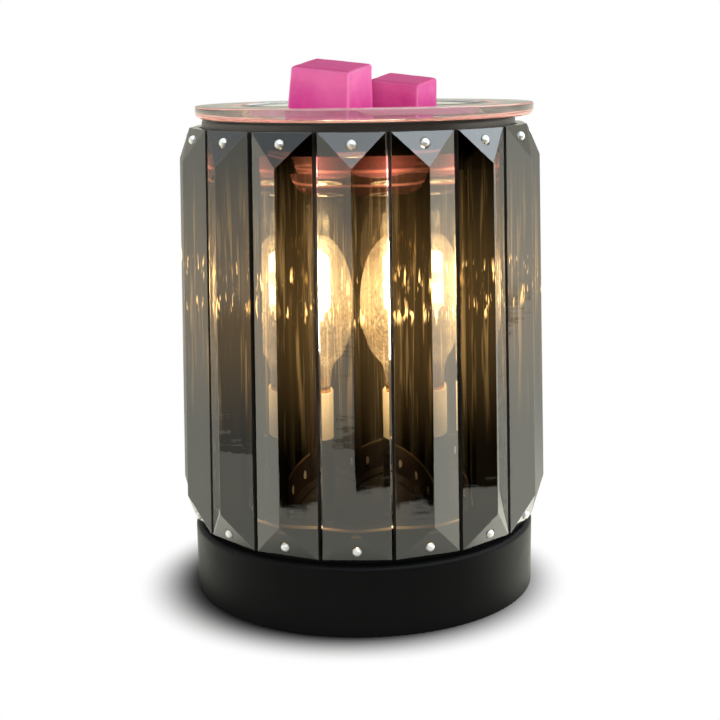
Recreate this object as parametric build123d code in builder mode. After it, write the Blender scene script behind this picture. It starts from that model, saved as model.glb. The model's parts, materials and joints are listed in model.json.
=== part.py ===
from build123d import *
import os
from math import atan, cos, radians, sin, sqrt, tan

os.makedirs("parts", exist_ok=True)

# Fits and stock
touch_gap = 0.1
slip_gap = 0.3
thread_gap = 0.25
sheet = 1.0
drill_length = 4.0
hexagon_count = 6

# Base drum
base_radius = 57.5
deck_height = 24.0
shell_lift = 1.0
shoulder_round = 1.8
edge_round = 0.4

# Bottom cover, feet and cover fastening
cover_level = 2.0
cover_thickness = 1.4
foot_radius = 6.0
foot_inset = 16.5
foot_count = 4
foot_start = 45.0
foot_round = 0.8
post_flats = 6.5
post_inset = 11.5
post_count = 3
post_start = 30.0
screw_radius = 1.5
screw_head_radius = 2.7
screw_head_height = 1.3
cover_screw_length = 9.0

# Rings that carry the crystals
cage_inset = 3.5
cage_taper = 3.1
lower_ring_height = 11.0
lower_lip_width = 7.5
upper_ring_height = 9.8
upper_lip_width = 1.8
ring_round = 1.3
ring_screw_count = 4
ring_screw_start = 15.0
ring_nut_radius = 2.7
ring_nut_height = 2.2

# Crystal cage
crystal_count = 16
crystal_start = -92.3
crystal_lift = 2.0
crystal_height = 129.5
crystal_headroom = 2.7
crystal_seam = 0.65
crystal_ridge = 7.7
crystal_face_angle = 26.0
crystal_bevel = 10.4

# Pins through the crystal ends
pin_inset = 3.4
pin_sink = 0.4
pin_shank_radius = 0.7
pin_hole_radius = 1.0
pin_ball_radius = 1.5
pin_tail_radius = 1.5
pin_tail_thickness = 0.7

# Frame posts behind the crystal seams
frame_post_count = 4
frame_post_width = 6.0
frame_post_thickness = 1.2
frame_post_pitch_count = 1.5

# Lamp holder
pedestal_foot_radius = 15.0
pedestal_foot_height = 2.0
pedestal_radius = 8.8
pedestal_height = 22.0
sleeve_radius = 7.8
sleeve_wall = 0.9
sleeve_height = 21.0
holder_base_height = 3.0
contact_radius = 2.6
contact_thickness = 1.2
shell_wall = 0.5
shell_drop = 1.5
nipple_radius = 4.9
nipple_bore = 3.4
nipple_drop = 5.0
washer_radius = 8.0
washer_thickness = 1.0
nut_flats = 14.0
nut_height = 3.5

# Lamp
globe_radius = 22.0
neck_length = 1.07
glass_wall = 0.8
neck_radius = 6.0
neck_sweep = 9.0
neck_seat = 4.0
neck_ledge = 0.5
cap_radius = 5.9
cap_wall = 0.4
cap_height = 15.0
insulator_height = 2.2
insulator_land = 2.0
tip_radius = 2.3
tip_height = 3.7
stem_radius = 2.4
stem_height = 15.0
stem_flare_height = 1.2
stem_flare_run = 2.4
lead_radius = 0.35
lead_bend = 1.0
lead_foot = 2.0
lead_hook = 3.0
filament_drop = 1.3
filament_height = 7.5
filament_span = 2.2
filament_bend = 2.0
filament_radius = 0.45

# Wiring and cord inlet
wire_radius = 0.9
wire_spacing = 2.6
wire_bend = 4.0
terminal_length = 20.0
terminal_depth = 12.0
terminal_height = 12.0
terminal_inset = 15.5
cord_level = 12.5
cord_bore = 3.1
grommet_neck = 4.4
grommet_flange = 6.4
grommet_lip = 1.6
grommet_inner_gap = 0.6

# Glass dish
dish_shift = 1.9
flange_overhang = 4.0
flange_thickness = 4.1
bowl_clearance = 0.4
bowl_draft = 5.0
dish_depth = 27.3
floor_thickness = 4.9
wall_thickness = 4.6
bowl_round = 9.0
bowl_inner_round = 6.0
flange_lower_round = 2.2
flange_upper_round = 0.6
mouth_round = 1.2

# Wax
wax_depth = 15.1
wax_tilt = 9.0
wax_roll = 3.0
wax_taper = 3.0
wax_corner = 1.8
wax_edge = 1.2
cube_left_size = 22.3
cube_left_height = 21.8
cube_left_across = -11.2
cube_left_back = -5.0
cube_left_turn = -22.5
cube_right_size = 19.5
cube_right_height = 16.7
cube_right_across = 12.4
cube_right_back = 14.0
cube_right_turn = -24.0

# Base: levels and radii that follow from the sizes above
deck_underside = deck_height - sheet
cover_top = cover_level + cover_thickness
shell_inside = base_radius - sheet
foot_circle = base_radius - foot_inset
post_circle = base_radius - post_inset
terminal_front = base_radius - terminal_inset - terminal_depth
nipple_bottom = deck_underside - nipple_drop
wire_level = nipple_bottom - wire_bend - slip_gap

# Cage: the crystals stand round the rings, and the upper ring carries the dish
crystal_pitch = 360 / crystal_count
crystal_bottom = deck_height + crystal_lift
lower_ring_radius = base_radius - cage_inset
lower_ring_top = deck_height + lower_ring_height
lower_lip_inner = lower_ring_radius - sheet - lower_lip_width
lower_lip_middle = lower_ring_radius - sheet - lower_lip_width / 2
lower_lip_top = deck_height + sheet
upper_ring_radius = lower_ring_radius - cage_taper
upper_ring_top = crystal_bottom + crystal_height + crystal_headroom
upper_ring_bottom = upper_ring_top - upper_ring_height
upper_lip_inner = upper_ring_radius - sheet - upper_lip_width
upper_lip_underside = upper_ring_top - sheet

# Dish and wax
flange_radius = upper_ring_radius + flange_overhang
flange_top = upper_ring_top + flange_thickness
bowl_radius = upper_lip_inner - dish_shift - bowl_clearance
bowl_foot_radius = bowl_radius - bowl_draft
bowl_bottom = flange_top - dish_depth
bowl_floor = bowl_bottom + floor_thickness
wax_level = bowl_floor + wax_depth
dish_plane = Plane(origin=(dish_shift, 0, 0), x_dir=(1, 0, 0), z_dir=(0, -1, 0))
dish_axis = Axis((dish_shift, 0, 0), (0, 0, 1))

# Holder and lamp, stacked up from the deck
pedestal_top = deck_height + pedestal_height
holder_top = pedestal_top + sleeve_height
contact_level = pedestal_top + holder_base_height
sleeve_bore = sleeve_radius - sleeve_wall
shell_bore = cap_radius + thread_gap
shell_outer = shell_bore + shell_wall
tip_bottom = contact_level + contact_thickness + touch_gap
cap_bottom = tip_bottom + tip_height
cap_top = cap_bottom + cap_height
cap_inside = cap_radius - cap_wall
insulator_bottom = cap_bottom - insulator_height
neck_bottom = cap_top - neck_seat
sweep_drop = sqrt((globe_radius + neck_sweep) ** 2 - (neck_radius + neck_sweep) ** 2)
sweep_level = cap_top + neck_length
globe_centre = sweep_level + sweep_drop
stem_top = cap_top + stem_height
filament_foot = globe_centre - filament_drop
filament_top = filament_foot + filament_height

# Crystal backs lie just outside the rings, and neighbours leave a seam
crystal_back_bottom = lower_ring_radius + slip_gap
crystal_back_top = upper_ring_radius + slip_gap
half_pitch = radians(crystal_pitch / 2)
crystal_width_bottom = 2 * crystal_back_bottom * tan(half_pitch) - crystal_seam
crystal_width_top = 2 * crystal_back_top * tan(half_pitch) - crystal_seam

# Slope and end thickness of the crystals
crystal_lean = atan((crystal_back_bottom - crystal_back_top) / crystal_height)
crystal_length = crystal_height / cos(crystal_lean)
face_slope = tan(radians(crystal_face_angle))
edge_top = crystal_ridge - crystal_width_top / 2 * face_slope
edge_bottom = crystal_ridge - crystal_width_bottom / 2 * face_slope
lean_out = (cos(crystal_lean), 0, sin(crystal_lean))
lean_up = (-sin(crystal_lean), 0, cos(crystal_lean))
crystal_foot = (crystal_back_bottom, 0, crystal_bottom)
section_plane = Plane(origin=crystal_foot, x_dir=lean_out, z_dir=lean_up)
face_plane = Plane(origin=crystal_foot, x_dir=(0, 1, 0), z_dir=lean_out)
side_plane = Plane(origin=crystal_foot, x_dir=lean_out, z_dir=(0, -1, 0))
upper_pin_level = crystal_bottom + crystal_height - pin_inset
lower_pin_level = crystal_bottom + pin_inset
pin_recess_radius = pin_ball_radius + touch_gap


def back_radius(level):
    """Radius of the flat crystal backs at a height."""
    return crystal_back_bottom - (level - crystal_bottom) * tan(crystal_lean)


def ball_radius(level, edge):
    """Radius at which a pin's ball is centred, a little under the bevel."""
    bevel_depth = edge + (crystal_ridge - edge) * pin_inset / crystal_bevel
    return back_radius(level) + bevel_depth - pin_sink


def bowl_inner_radius(level):
    """Radius of the sloping inner wall of the bowl at a height."""
    foot = bowl_foot_radius - wall_thickness
    mouth = bowl_radius - wall_thickness
    return foot + (mouth - foot) * (level - bowl_floor) / (flange_top - bowl_floor)


def save(builder, name):
    """Names a finished piece and writes it to its own file."""
    builder.part.label = name
    export_step(builder.part, f"parts/{name}.step")


# Base shell: a deep drawn drum, closed above by the deck
with BuildPart() as base_shell:
    with BuildSketch(Plane.XZ):
        with BuildLine():
            FilletPolyline(
                (nipple_radius + slip_gap, deck_underside),
                (shell_inside, deck_underside),
                (shell_inside, shell_lift),
                (base_radius, shell_lift),
                (base_radius, deck_height),
                (nipple_radius + slip_gap, deck_height),
                radius=[shoulder_round - sheet, edge_round, edge_round, shoulder_round],
            )
            Line(
                (nipple_radius + slip_gap, deck_height),
                (nipple_radius + slip_gap, deck_underside),
            )
        make_face()
    revolve(axis=Axis.Z)
    # Cord hole in the back wall
    with Locations((0, base_radius, cord_level)):
        Cylinder(grommet_neck + touch_gap, shell_inside, rotation=(90, 0, 0), mode=Mode.SUBTRACT)
    # Holes for the screws of the lower ring
    with Locations((0, 0, deck_height)):
        with PolarLocations(lower_lip_middle, ring_screw_count, ring_screw_start):
            Cylinder(screw_radius + touch_gap, drill_length, mode=Mode.SUBTRACT)
save(base_shell, "base_shell")

# Bottom cover with its screw holes
with BuildPart() as bottom_cover:
    with BuildSketch(Plane.XY.offset(cover_level)):
        Circle(shell_inside - slip_gap)
        with PolarLocations(post_circle, post_count, post_start):
            Circle(screw_radius + touch_gap, mode=Mode.SUBTRACT)
    extrude(amount=cover_thickness)
    chamfer(bottom_cover.faces().sort_by(Axis.Z)[0].outer_wire().edges(), edge_round)
save(bottom_cover, "bottom_cover")

# Hexagonal spacers between the cover and the deck
with BuildPart() as cover_posts:
    with BuildSketch(Plane.XY.offset(cover_top)):
        with PolarLocations(post_circle, post_count, post_start):
            RegularPolygon(post_flats / 2, hexagon_count, major_radius=False)
            Circle(screw_radius + touch_gap, mode=Mode.SUBTRACT)
    extrude(amount=deck_underside - cover_top)
save(cover_posts, "cover_posts")

# Pan head screws that hold the cover
with BuildPart() as cover_screws:
    with BuildSketch(Plane.XY.offset(cover_level)):
        with PolarLocations(post_circle, post_count, post_start):
            Circle(screw_head_radius)
    extrude(amount=-screw_head_height)
    with BuildSketch(Plane.XY.offset(cover_level)):
        with PolarLocations(post_circle, post_count, post_start):
            Circle(screw_radius)
    extrude(amount=cover_screw_length)
save(cover_screws, "cover_screws")

# Rubber feet under the cover
with BuildPart() as rubber_feet:
    with BuildSketch():
        with PolarLocations(foot_circle, foot_count, foot_start):
            Circle(foot_radius)
    extrude(amount=cover_level)
    chamfer(rubber_feet.faces().group_by(Axis.Z)[0].edges(), foot_round)
save(rubber_feet, "rubber_feet")

# Rubber grommet in the cord hole
with BuildPart() as cord_grommet:
    with BuildSketch(Plane.YZ):
        with BuildLine():
            Polyline(
                (shell_inside - grommet_inner_gap - grommet_lip, cord_level + cord_bore),
                (base_radius + touch_gap + grommet_lip, cord_level + cord_bore),
                (base_radius + touch_gap + grommet_lip, cord_level + grommet_flange),
                (base_radius + touch_gap, cord_level + grommet_flange),
                (base_radius + touch_gap, cord_level + grommet_neck),
                (shell_inside - grommet_inner_gap, cord_level + grommet_neck),
                (shell_inside - grommet_inner_gap, cord_level + grommet_flange),
                (shell_inside - grommet_inner_gap - grommet_lip, cord_level + grommet_flange),
                close=True,
            )
        make_face()
    revolve(axis=Axis((0, 0, cord_level), (0, 1, 0)))
save(cord_grommet, "cord_grommet")

# Terminal block under the deck
with BuildPart() as terminal_block:
    with BuildSketch(Plane.XY.offset(deck_underside)):
        with Locations((0, terminal_front + terminal_depth / 2)):
            Rectangle(terminal_length, terminal_depth)
    extrude(amount=-terminal_height)
    chamfer(terminal_block.edges().filter_by(Axis.Z), edge_round)
save(terminal_block, "terminal_block")

# The two leads from the terminal block up through the nipple to the holder
for side, lead_name in ((-1, "live_lead"), (1, "neutral_lead")):
    with BuildPart() as lead:
        with BuildLine() as lead_path:
            FilletPolyline(
                (side * wire_spacing / 2, 0, pedestal_top),
                (side * wire_spacing / 2, 0, wire_level),
                (side * wire_spacing / 2, terminal_front, wire_level),
                radius=wire_bend,
            )
        with BuildSketch(Plane(origin=lead_path.line @ 0, z_dir=lead_path.line % 0)):
            Circle(wire_radius)
        sweep()
    save(lead, lead_name)

# Lower ring: an angle section standing on the deck
with BuildPart() as lower_ring:
    with BuildSketch(Plane.XZ):
        with BuildLine():
            Polyline(
                (lower_lip_inner, deck_height),
                (lower_ring_radius, deck_height),
                (lower_ring_radius, lower_ring_top),
                (lower_ring_radius - sheet, lower_ring_top),
                (lower_ring_radius - sheet, lower_lip_top),
                (lower_lip_inner, lower_lip_top),
                close=True,
            )
        make_face()
    revolve(axis=Axis.Z)
    with Locations((0, 0, lower_pin_level)):
        with PolarLocations(lower_ring_radius, crystal_count, crystal_start):
            Cylinder(pin_shank_radius + touch_gap, drill_length, rotation=(0, 90, 0), mode=Mode.SUBTRACT)
    with Locations((0, 0, deck_height)):
        with PolarLocations(lower_lip_middle, ring_screw_count, ring_screw_start):
            Cylinder(screw_radius + touch_gap, drill_length, mode=Mode.SUBTRACT)
save(lower_ring, "lower_ring")

# Upper ring: an angle section with the lip that carries the dish
with BuildPart() as upper_ring:
    with BuildSketch(Plane.XZ):
        with BuildLine():
            FilletPolyline(
                (upper_ring_radius - sheet, upper_ring_bottom),
                (upper_ring_radius, upper_ring_bottom),
                (upper_ring_radius, upper_ring_top),
                (upper_lip_inner, upper_ring_top),
                (upper_lip_inner, upper_lip_underside),
                (upper_ring_radius - sheet, upper_lip_underside),
                radius=[0, ring_round, 0, 0],
            )
            Line(
                (upper_ring_radius - sheet, upper_lip_underside),
                (upper_ring_radius - sheet, upper_ring_bottom),
            )
        make_face()
    revolve(axis=Axis.Z)
    with Locations((0, 0, upper_pin_level)):
        with PolarLocations(upper_ring_radius, crystal_count, crystal_start):
            Cylinder(pin_shank_radius + touch_gap, drill_length, rotation=(0, 90, 0), mode=Mode.SUBTRACT)
save(upper_ring, "upper_ring")

# Screws and nuts of the lower ring
with BuildPart() as ring_screws:
    with BuildSketch(Plane.XY.offset(lower_lip_top)):
        with PolarLocations(lower_lip_middle, ring_screw_count, ring_screw_start):
            Circle(screw_head_radius)
    extrude(amount=screw_head_height)
    with BuildSketch(Plane.XY.offset(lower_lip_top)):
        with PolarLocations(lower_lip_middle, ring_screw_count, ring_screw_start):
            Circle(screw_radius)
    extrude(amount=deck_underside - ring_nut_height - lower_lip_top)
save(ring_screws, "ring_screws")

with BuildPart() as ring_nuts:
    with BuildSketch(Plane.XY.offset(deck_underside)):
        with PolarLocations(lower_lip_middle, ring_screw_count, ring_screw_start):
            RegularPolygon(ring_nut_radius, hexagon_count, major_radius=False)
            Circle(screw_radius + touch_gap, mode=Mode.SUBTRACT)
    extrude(amount=-ring_nut_height)
save(ring_nuts, "ring_nuts")

# Frame posts: leaning strips from the lower lip to the upper lip
frame_post_start = crystal_start - frame_post_pitch_count * crystal_pitch
post_low = lower_lip_top + touch_gap
post_high = upper_lip_underside - touch_gap
post_low_face = lower_ring_radius - sheet - slip_gap
post_high_face = upper_ring_radius - sheet - slip_gap
for number in range(frame_post_count):
    with BuildPart() as frame_post:
        with BuildSketch(Plane.XZ):
            with BuildLine():
                Polyline(
                    (post_low_face - frame_post_thickness, post_low),
                    (post_low_face, post_low),
                    (post_high_face, post_high),
                    (post_high_face - frame_post_thickness, post_high),
                    close=True,
                )
            make_face()
        extrude(amount=frame_post_width / 2, both=True)
    frame_post_angle = frame_post_start + 360 / frame_post_count * number
    with BuildPart() as placed_post:
        add(frame_post.part, rotation=(0, 0, frame_post_angle))
    save(placed_post, f"frame_post_{number + 1}")

# Crystal prism: outline seen from outside, house shaped section and bevelled side profile meet
with BuildPart() as prism:
    with BuildSketch(face_plane):
        with BuildLine():
            Polyline(
                (-crystal_width_bottom / 2, 0),
                (crystal_width_bottom / 2, 0),
                (crystal_width_top / 2, crystal_length),
                (-crystal_width_top / 2, crystal_length),
                close=True,
            )
        make_face()
    extrude(amount=crystal_ridge)
    with BuildSketch(section_plane):
        with BuildLine():
            Polyline(
                (0, -crystal_width_bottom / 2),
                (edge_bottom, -crystal_width_bottom / 2),
                (crystal_ridge, 0),
                (edge_bottom, crystal_width_bottom / 2),
                (0, crystal_width_bottom / 2),
                close=True,
            )
        make_face()
    extrude(amount=crystal_length, mode=Mode.INTERSECT)
    with BuildSketch(side_plane):
        with BuildLine():
            Polyline(
                (0, 0),
                (edge_bottom, 0),
                (crystal_ridge, crystal_bevel),
                (crystal_ridge, crystal_length - crystal_bevel),
                (edge_top, crystal_length),
                (0, crystal_length),
                close=True,
            )
        make_face()
    extrude(amount=crystal_width_bottom, both=True, mode=Mode.INTERSECT)
    # Pin holes, drilled level
    with Locations(
        (back_radius(upper_pin_level), 0, upper_pin_level),
        (back_radius(lower_pin_level), 0, lower_pin_level),
    ):
        Cylinder(pin_hole_radius, crystal_width_bottom, rotation=(0, 90, 0), mode=Mode.SUBTRACT)
    # Recesses for the balls of the pins
    with Locations(
        (ball_radius(upper_pin_level, edge_top) - pin_recess_radius, 0, upper_pin_level),
        (ball_radius(lower_pin_level, edge_bottom) - pin_recess_radius, 0, lower_pin_level),
    ):
        Cylinder(
            pin_recess_radius,
            crystal_ridge,
            rotation=(0, 90, 0),
            align=(Align.CENTER, Align.CENTER, Align.MIN),
            mode=Mode.SUBTRACT,
        )

for number in range(crystal_count):
    with BuildPart() as crystal:
        add(prism.part, rotation=(0, 0, crystal_start + crystal_pitch * number))
    save(crystal, f"crystal_{number + 1:02d}")

# Ball headed pins: the ball sits in the recess, the tail is spread behind the ring
for pin_name, level, ring_radius, edge in (
    ("upper_pins", upper_pin_level, upper_ring_radius, edge_top),
    ("lower_pins", lower_pin_level, lower_ring_radius, edge_bottom),
):
    ball_centre = ball_radius(level, edge)
    tail_face = ring_radius - sheet - touch_gap
    with BuildPart() as pin:
        with Locations((ball_centre, 0, level)):
            Sphere(pin_ball_radius)
        with Locations((tail_face, 0, level)):
            Cylinder(
                pin_shank_radius,
                ball_centre - tail_face,
                rotation=(0, 90, 0),
                align=(Align.CENTER, Align.CENTER, Align.MIN),
            )
            Cylinder(
                pin_tail_radius,
                pin_tail_thickness,
                rotation=(0, 90, 0),
                align=(Align.CENTER, Align.CENTER, Align.MAX),
            )
    with BuildPart() as pins:
        with PolarLocations(0, crystal_count, crystal_start):
            add(pin.part)
    save(pins, pin_name)

# Pedestal: a flanged tube round the nipple
with BuildPart() as lamp_pedestal:
    with BuildSketch(Plane.XZ):
        with BuildLine():
            FilletPolyline(
                (nipple_radius + slip_gap, deck_height),
                (pedestal_foot_radius, deck_height),
                (pedestal_foot_radius, deck_height + pedestal_foot_height),
                (pedestal_radius, deck_height + pedestal_foot_height),
                (pedestal_radius, pedestal_top),
                (nipple_radius + slip_gap, pedestal_top),
                radius=[0, sheet, pedestal_foot_height, sheet],
            )
            Line(
                (nipple_radius + slip_gap, pedestal_top),
                (nipple_radius + slip_gap, deck_height),
            )
        make_face()
    revolve(axis=Axis.Z)
save(lamp_pedestal, "lamp_pedestal")

# Threaded nipple with its washer and nut under the deck
with BuildPart() as holder_nipple:
    with BuildSketch(Plane.XY.offset(nipple_bottom)):
        Circle(nipple_radius)
        Circle(nipple_bore, mode=Mode.SUBTRACT)
    extrude(amount=pedestal_top - nipple_bottom)
save(holder_nipple, "holder_nipple")

with BuildPart() as nipple_washer:
    with BuildSketch(Plane.XY.offset(deck_underside)):
        Circle(washer_radius)
        Circle(nipple_radius + touch_gap, mode=Mode.SUBTRACT)
    extrude(amount=-washer_thickness)
save(nipple_washer, "nipple_washer")

with BuildPart() as nipple_nut:
    with BuildSketch(Plane.XY.offset(deck_underside - washer_thickness)):
        RegularPolygon(nut_flats / 2, hexagon_count, major_radius=False)
        Circle(nipple_radius + touch_gap, mode=Mode.SUBTRACT)
    extrude(amount=-nut_height)
save(nipple_nut, "nipple_nut")

# Holder: insulating base, contact leaf, threaded shell and sleeve
with BuildPart() as holder_base:
    with BuildSketch(Plane.XY.offset(pedestal_top)):
        Circle(sleeve_bore - touch_gap)
    extrude(amount=holder_base_height)
save(holder_base, "holder_base")

with BuildPart() as holder_contact:
    with BuildSketch(Plane.XY.offset(contact_level)):
        Circle(contact_radius)
    extrude(amount=contact_thickness)
save(holder_contact, "holder_contact")

with BuildPart() as holder_shell:
    with BuildSketch(Plane.XY.offset(contact_level)):
        Circle(shell_outer)
        Circle(shell_bore, mode=Mode.SUBTRACT)
    extrude(amount=holder_top - shell_drop - contact_level)
save(holder_shell, "holder_shell")

with BuildPart() as holder_sleeve:
    with BuildSketch(Plane.XY.offset(pedestal_top)):
        Circle(sleeve_radius)
        Circle(sleeve_bore, mode=Mode.SUBTRACT)
    extrude(amount=holder_top - pedestal_top)
    fillet(holder_sleeve.faces().sort_by(Axis.Z)[-1].outer_wire().edges(), edge_round)
save(holder_sleeve, "holder_sleeve")

# Bulb glass: a globe that sweeps into its neck
reach_share = (neck_radius + neck_sweep) / (globe_radius + neck_sweep)
drop_share = sweep_drop / (globe_radius + neck_sweep)
globe_inner = globe_radius - glass_wall
neck_inner = neck_radius - glass_wall
with BuildPart() as bulb_glass:
    with BuildSketch(Plane.XZ):
        with BuildLine():
            outer_join = (globe_radius * reach_share, globe_centre - globe_radius * drop_share)
            inner_join = (globe_inner * reach_share, globe_centre - globe_inner * drop_share)
            ThreePointArc((0, globe_centre + globe_radius), (globe_radius, globe_centre), outer_join)
            RadiusArc(outer_join, (neck_radius, sweep_level), -neck_sweep)
            Polyline(
                (neck_radius, sweep_level),
                (neck_radius, cap_top + touch_gap),
                (cap_inside - touch_gap, cap_top + touch_gap),
                (cap_inside - touch_gap, neck_bottom),
                (neck_inner - neck_ledge, neck_bottom),
                (neck_inner - neck_ledge, cap_top + touch_gap),
                (neck_inner, sweep_level),
            )
            RadiusArc((neck_inner, sweep_level), inner_join, neck_sweep + glass_wall)
            ThreePointArc(inner_join, (globe_inner, globe_centre), (0, globe_centre + globe_inner))
            Line((0, globe_centre + globe_inner), (0, globe_centre + globe_radius))
        make_face()
    revolve(axis=Axis.Z)
save(bulb_glass, "bulb_glass")

# Screw cap, insulator and solder tip of the bulb
with BuildPart() as bulb_cap:
    with BuildSketch(Plane.XZ):
        with BuildLine():
            Polyline(
                (cap_inside, cap_top),
                (cap_radius, cap_top),
                (cap_radius, cap_bottom + cap_wall),
                (cap_inside, cap_bottom),
                (tip_radius + touch_gap, cap_bottom),
                (tip_radius + touch_gap, cap_bottom + cap_wall),
                (cap_inside, cap_bottom + cap_wall),
                close=True,
            )
        make_face()
    revolve(axis=Axis.Z)
save(bulb_cap, "bulb_cap")

with BuildPart() as cap_insulator:
    with BuildSketch(Plane.XZ):
        with BuildLine():
            Polyline(
                (tip_radius + touch_gap, insulator_bottom),
                (tip_radius + insulator_land, insulator_bottom),
                (cap_inside - cap_wall, cap_bottom),
                (tip_radius + touch_gap, cap_bottom),
                close=True,
            )
        make_face()
    revolve(axis=Axis.Z)
save(cap_insulator, "cap_insulator")

with BuildPart() as bulb_tip:
    with BuildSketch(Plane.XY.offset(tip_bottom)):
        Circle(tip_radius)
    extrude(amount=cap_bottom - tip_bottom)
    fillet(bulb_tip.faces().sort_by(Axis.Z)[0].edges(), edge_round)
save(bulb_tip, "bulb_tip")

# Glass stem with its flare in the neck
with BuildPart() as glass_stem:
    with BuildSketch(Plane.XZ):
        with BuildLine():
            FilletPolyline(
                (0, neck_bottom),
                (neck_inner - neck_ledge - touch_gap, neck_bottom),
                (neck_inner - neck_ledge - touch_gap, neck_bottom + stem_flare_height),
                (stem_radius, neck_bottom + stem_flare_height + stem_flare_run),
                (stem_radius, stem_top),
                (0, stem_top),
                radius=[0, 0, stem_flare_height, lead_bend],
            )
            Line((0, stem_top), (0, neck_bottom))
        make_face()
    revolve(axis=Axis.Z)
save(glass_stem, "glass_stem")

# Two lead wires that fan out from the stem
lead_end = filament_foot - touch_gap
with BuildPart() as lead_wires:
    for side in (-1, 1):
        with BuildLine(mode=Mode.PRIVATE) as wire_path:
            FilletPolyline(
                (side * stem_radius / 2, 0, stem_top),
                (side * stem_radius / 2, 0, stem_top + lead_foot),
                (side * filament_span, 0, lead_end - lead_hook),
                (side * filament_span, 0, lead_end),
                radius=lead_bend,
            )
        with BuildSketch(Plane(origin=wire_path.line @ 0, z_dir=wire_path.line % 0)):
            Circle(lead_radius)
        sweep(path=wire_path.line)
save(lead_wires, "lead_wires")

# Filament: a hairpin of coiled wire between the leads
with BuildPart() as filament:
    with BuildLine() as filament_path:
        FilletPolyline(
            (-filament_span, 0, filament_foot),
            (-filament_span, 0, filament_top),
            (filament_span, 0, filament_top),
            (filament_span, 0, filament_foot),
            radius=filament_bend,
        )
    with BuildSketch(Plane(origin=filament_path.line @ 0, z_dir=filament_path.line % 0)):
        Circle(filament_radius)
    sweep()
save(filament, "filament")

# Glass dish: flat flange, sloping wall and thick floor
with BuildPart() as glass_dish:
    with BuildSketch(dish_plane):
        with BuildLine():
            FilletPolyline(
                (0, bowl_bottom),
                (bowl_foot_radius, bowl_bottom),
                (bowl_radius, upper_ring_top),
                (flange_radius, upper_ring_top),
                (flange_radius, flange_top),
                (bowl_inner_radius(flange_top), flange_top),
                (bowl_inner_radius(bowl_floor), bowl_floor),
                (0, bowl_floor),
                radius=[
                    bowl_round,
                    0,
                    flange_lower_round,
                    flange_upper_round,
                    mouth_round,
                    bowl_inner_round,
                ],
            )
            Line((0, bowl_floor), (0, bowl_bottom))
        make_face()
    revolve(axis=dish_axis)
save(glass_dish, "glass_dish")


def wax_block(size, height, place, turn, grow):
    """A tapered wax cube leaning forward and aside on the wax, grown all round by a gap."""
    aside = sin(radians(wax_roll))
    forward = sin(radians(wax_tilt))
    lean = (aside, -forward, sqrt(1 - aside**2 - forward**2))
    along = (cos(radians(turn)), sin(radians(turn)), 0)
    foot_level = wax_level - size / 2 * forward
    foot = Plane(origin=(dish_shift + place[0], place[1], foot_level), x_dir=along, z_dir=lean)
    with BuildPart() as block:
        with BuildSketch(foot.offset(-grow)):
            RectangleRounded(size + 2 * grow, size + 2 * grow, wax_corner + grow)
        extrude(amount=height + grow, taper=wax_taper)
        top_face = block.faces().sort_by(Axis.Z)[-1]
        fillet(top_face.edges(), wax_edge)
    return block.part


# The two wax cubes
left_place = (cube_left_across, cube_left_back)
right_place = (cube_right_across, cube_right_back)
left_values = (cube_left_size, cube_left_height, left_place, cube_left_turn)
right_values = (cube_right_size, cube_right_height, right_place, cube_right_turn)
with BuildPart() as wax_cube_left:
    add(wax_block(*left_values, grow=0))
save(wax_cube_left, "wax_cube_left")

with BuildPart() as wax_cube_right:
    add(wax_block(*right_values, grow=0))
save(wax_cube_right, "wax_cube_right")

# Set wax in the bowl, with the hollows in which the cubes stand
with BuildPart() as wax_layer:
    with BuildSketch(dish_plane):
        with BuildLine():
            FilletPolyline(
                (0, bowl_floor + touch_gap),
                (bowl_inner_radius(bowl_floor) - slip_gap, bowl_floor + touch_gap),
                (bowl_inner_radius(wax_level) - slip_gap, wax_level),
                (0, wax_level),
                radius=[bowl_inner_round, 0],
            )
            Line((0, wax_level), (0, bowl_floor + touch_gap))
        make_face()
    revolve(axis=dish_axis)
    add(wax_block(*left_values, grow=slip_gap), mode=Mode.SUBTRACT)
    add(wax_block(*right_values, grow=slip_gap), mode=Mode.SUBTRACT)
save(wax_layer, "wax_layer")
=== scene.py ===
"""Looks of a wax melt warmer: a lit globe lamp in a cage of smoke crystals, under a dish of pink wax."""
import json
import logging
from dataclasses import dataclass
from enum import Enum
from math import atan, cos, pi, radians, sin, sqrt, tan
from typing import Any, Optional, Sequence

import bmesh
import bpy
from mathutils import Matrix, Vector, noise

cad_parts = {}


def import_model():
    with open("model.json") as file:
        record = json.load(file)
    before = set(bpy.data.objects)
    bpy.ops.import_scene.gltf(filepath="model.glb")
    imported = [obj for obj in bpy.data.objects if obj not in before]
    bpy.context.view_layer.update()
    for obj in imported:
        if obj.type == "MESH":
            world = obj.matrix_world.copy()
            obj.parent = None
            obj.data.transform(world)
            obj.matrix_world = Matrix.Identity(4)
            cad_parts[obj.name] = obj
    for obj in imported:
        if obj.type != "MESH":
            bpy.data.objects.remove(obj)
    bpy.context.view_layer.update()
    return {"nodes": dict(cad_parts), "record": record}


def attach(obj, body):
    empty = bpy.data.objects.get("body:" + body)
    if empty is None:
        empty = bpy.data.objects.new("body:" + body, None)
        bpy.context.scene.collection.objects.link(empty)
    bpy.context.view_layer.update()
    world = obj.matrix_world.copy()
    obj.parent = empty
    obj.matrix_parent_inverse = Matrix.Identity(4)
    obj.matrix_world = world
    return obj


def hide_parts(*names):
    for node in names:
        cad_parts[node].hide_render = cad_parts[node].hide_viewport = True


LOG = logging.getLogger("warmer")
MM = 0.001
EDGE_LAYER = "edge_pale"
TOP_SHADE_LAYER = "top_painted_shade"
WHITE = "#FFFFFF"
# Sockets of a mix node, which gives numbers and colours the same names
NUMBER_A, NUMBER_B = 2, 3
COLOUR_A, COLOUR_B, MIXED_COLOUR = 6, 7, 2
# Setting of a node that maps a range with soft ends
SMOOTH = {"interpolation_type": "SMOOTHSTEP"}

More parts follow.
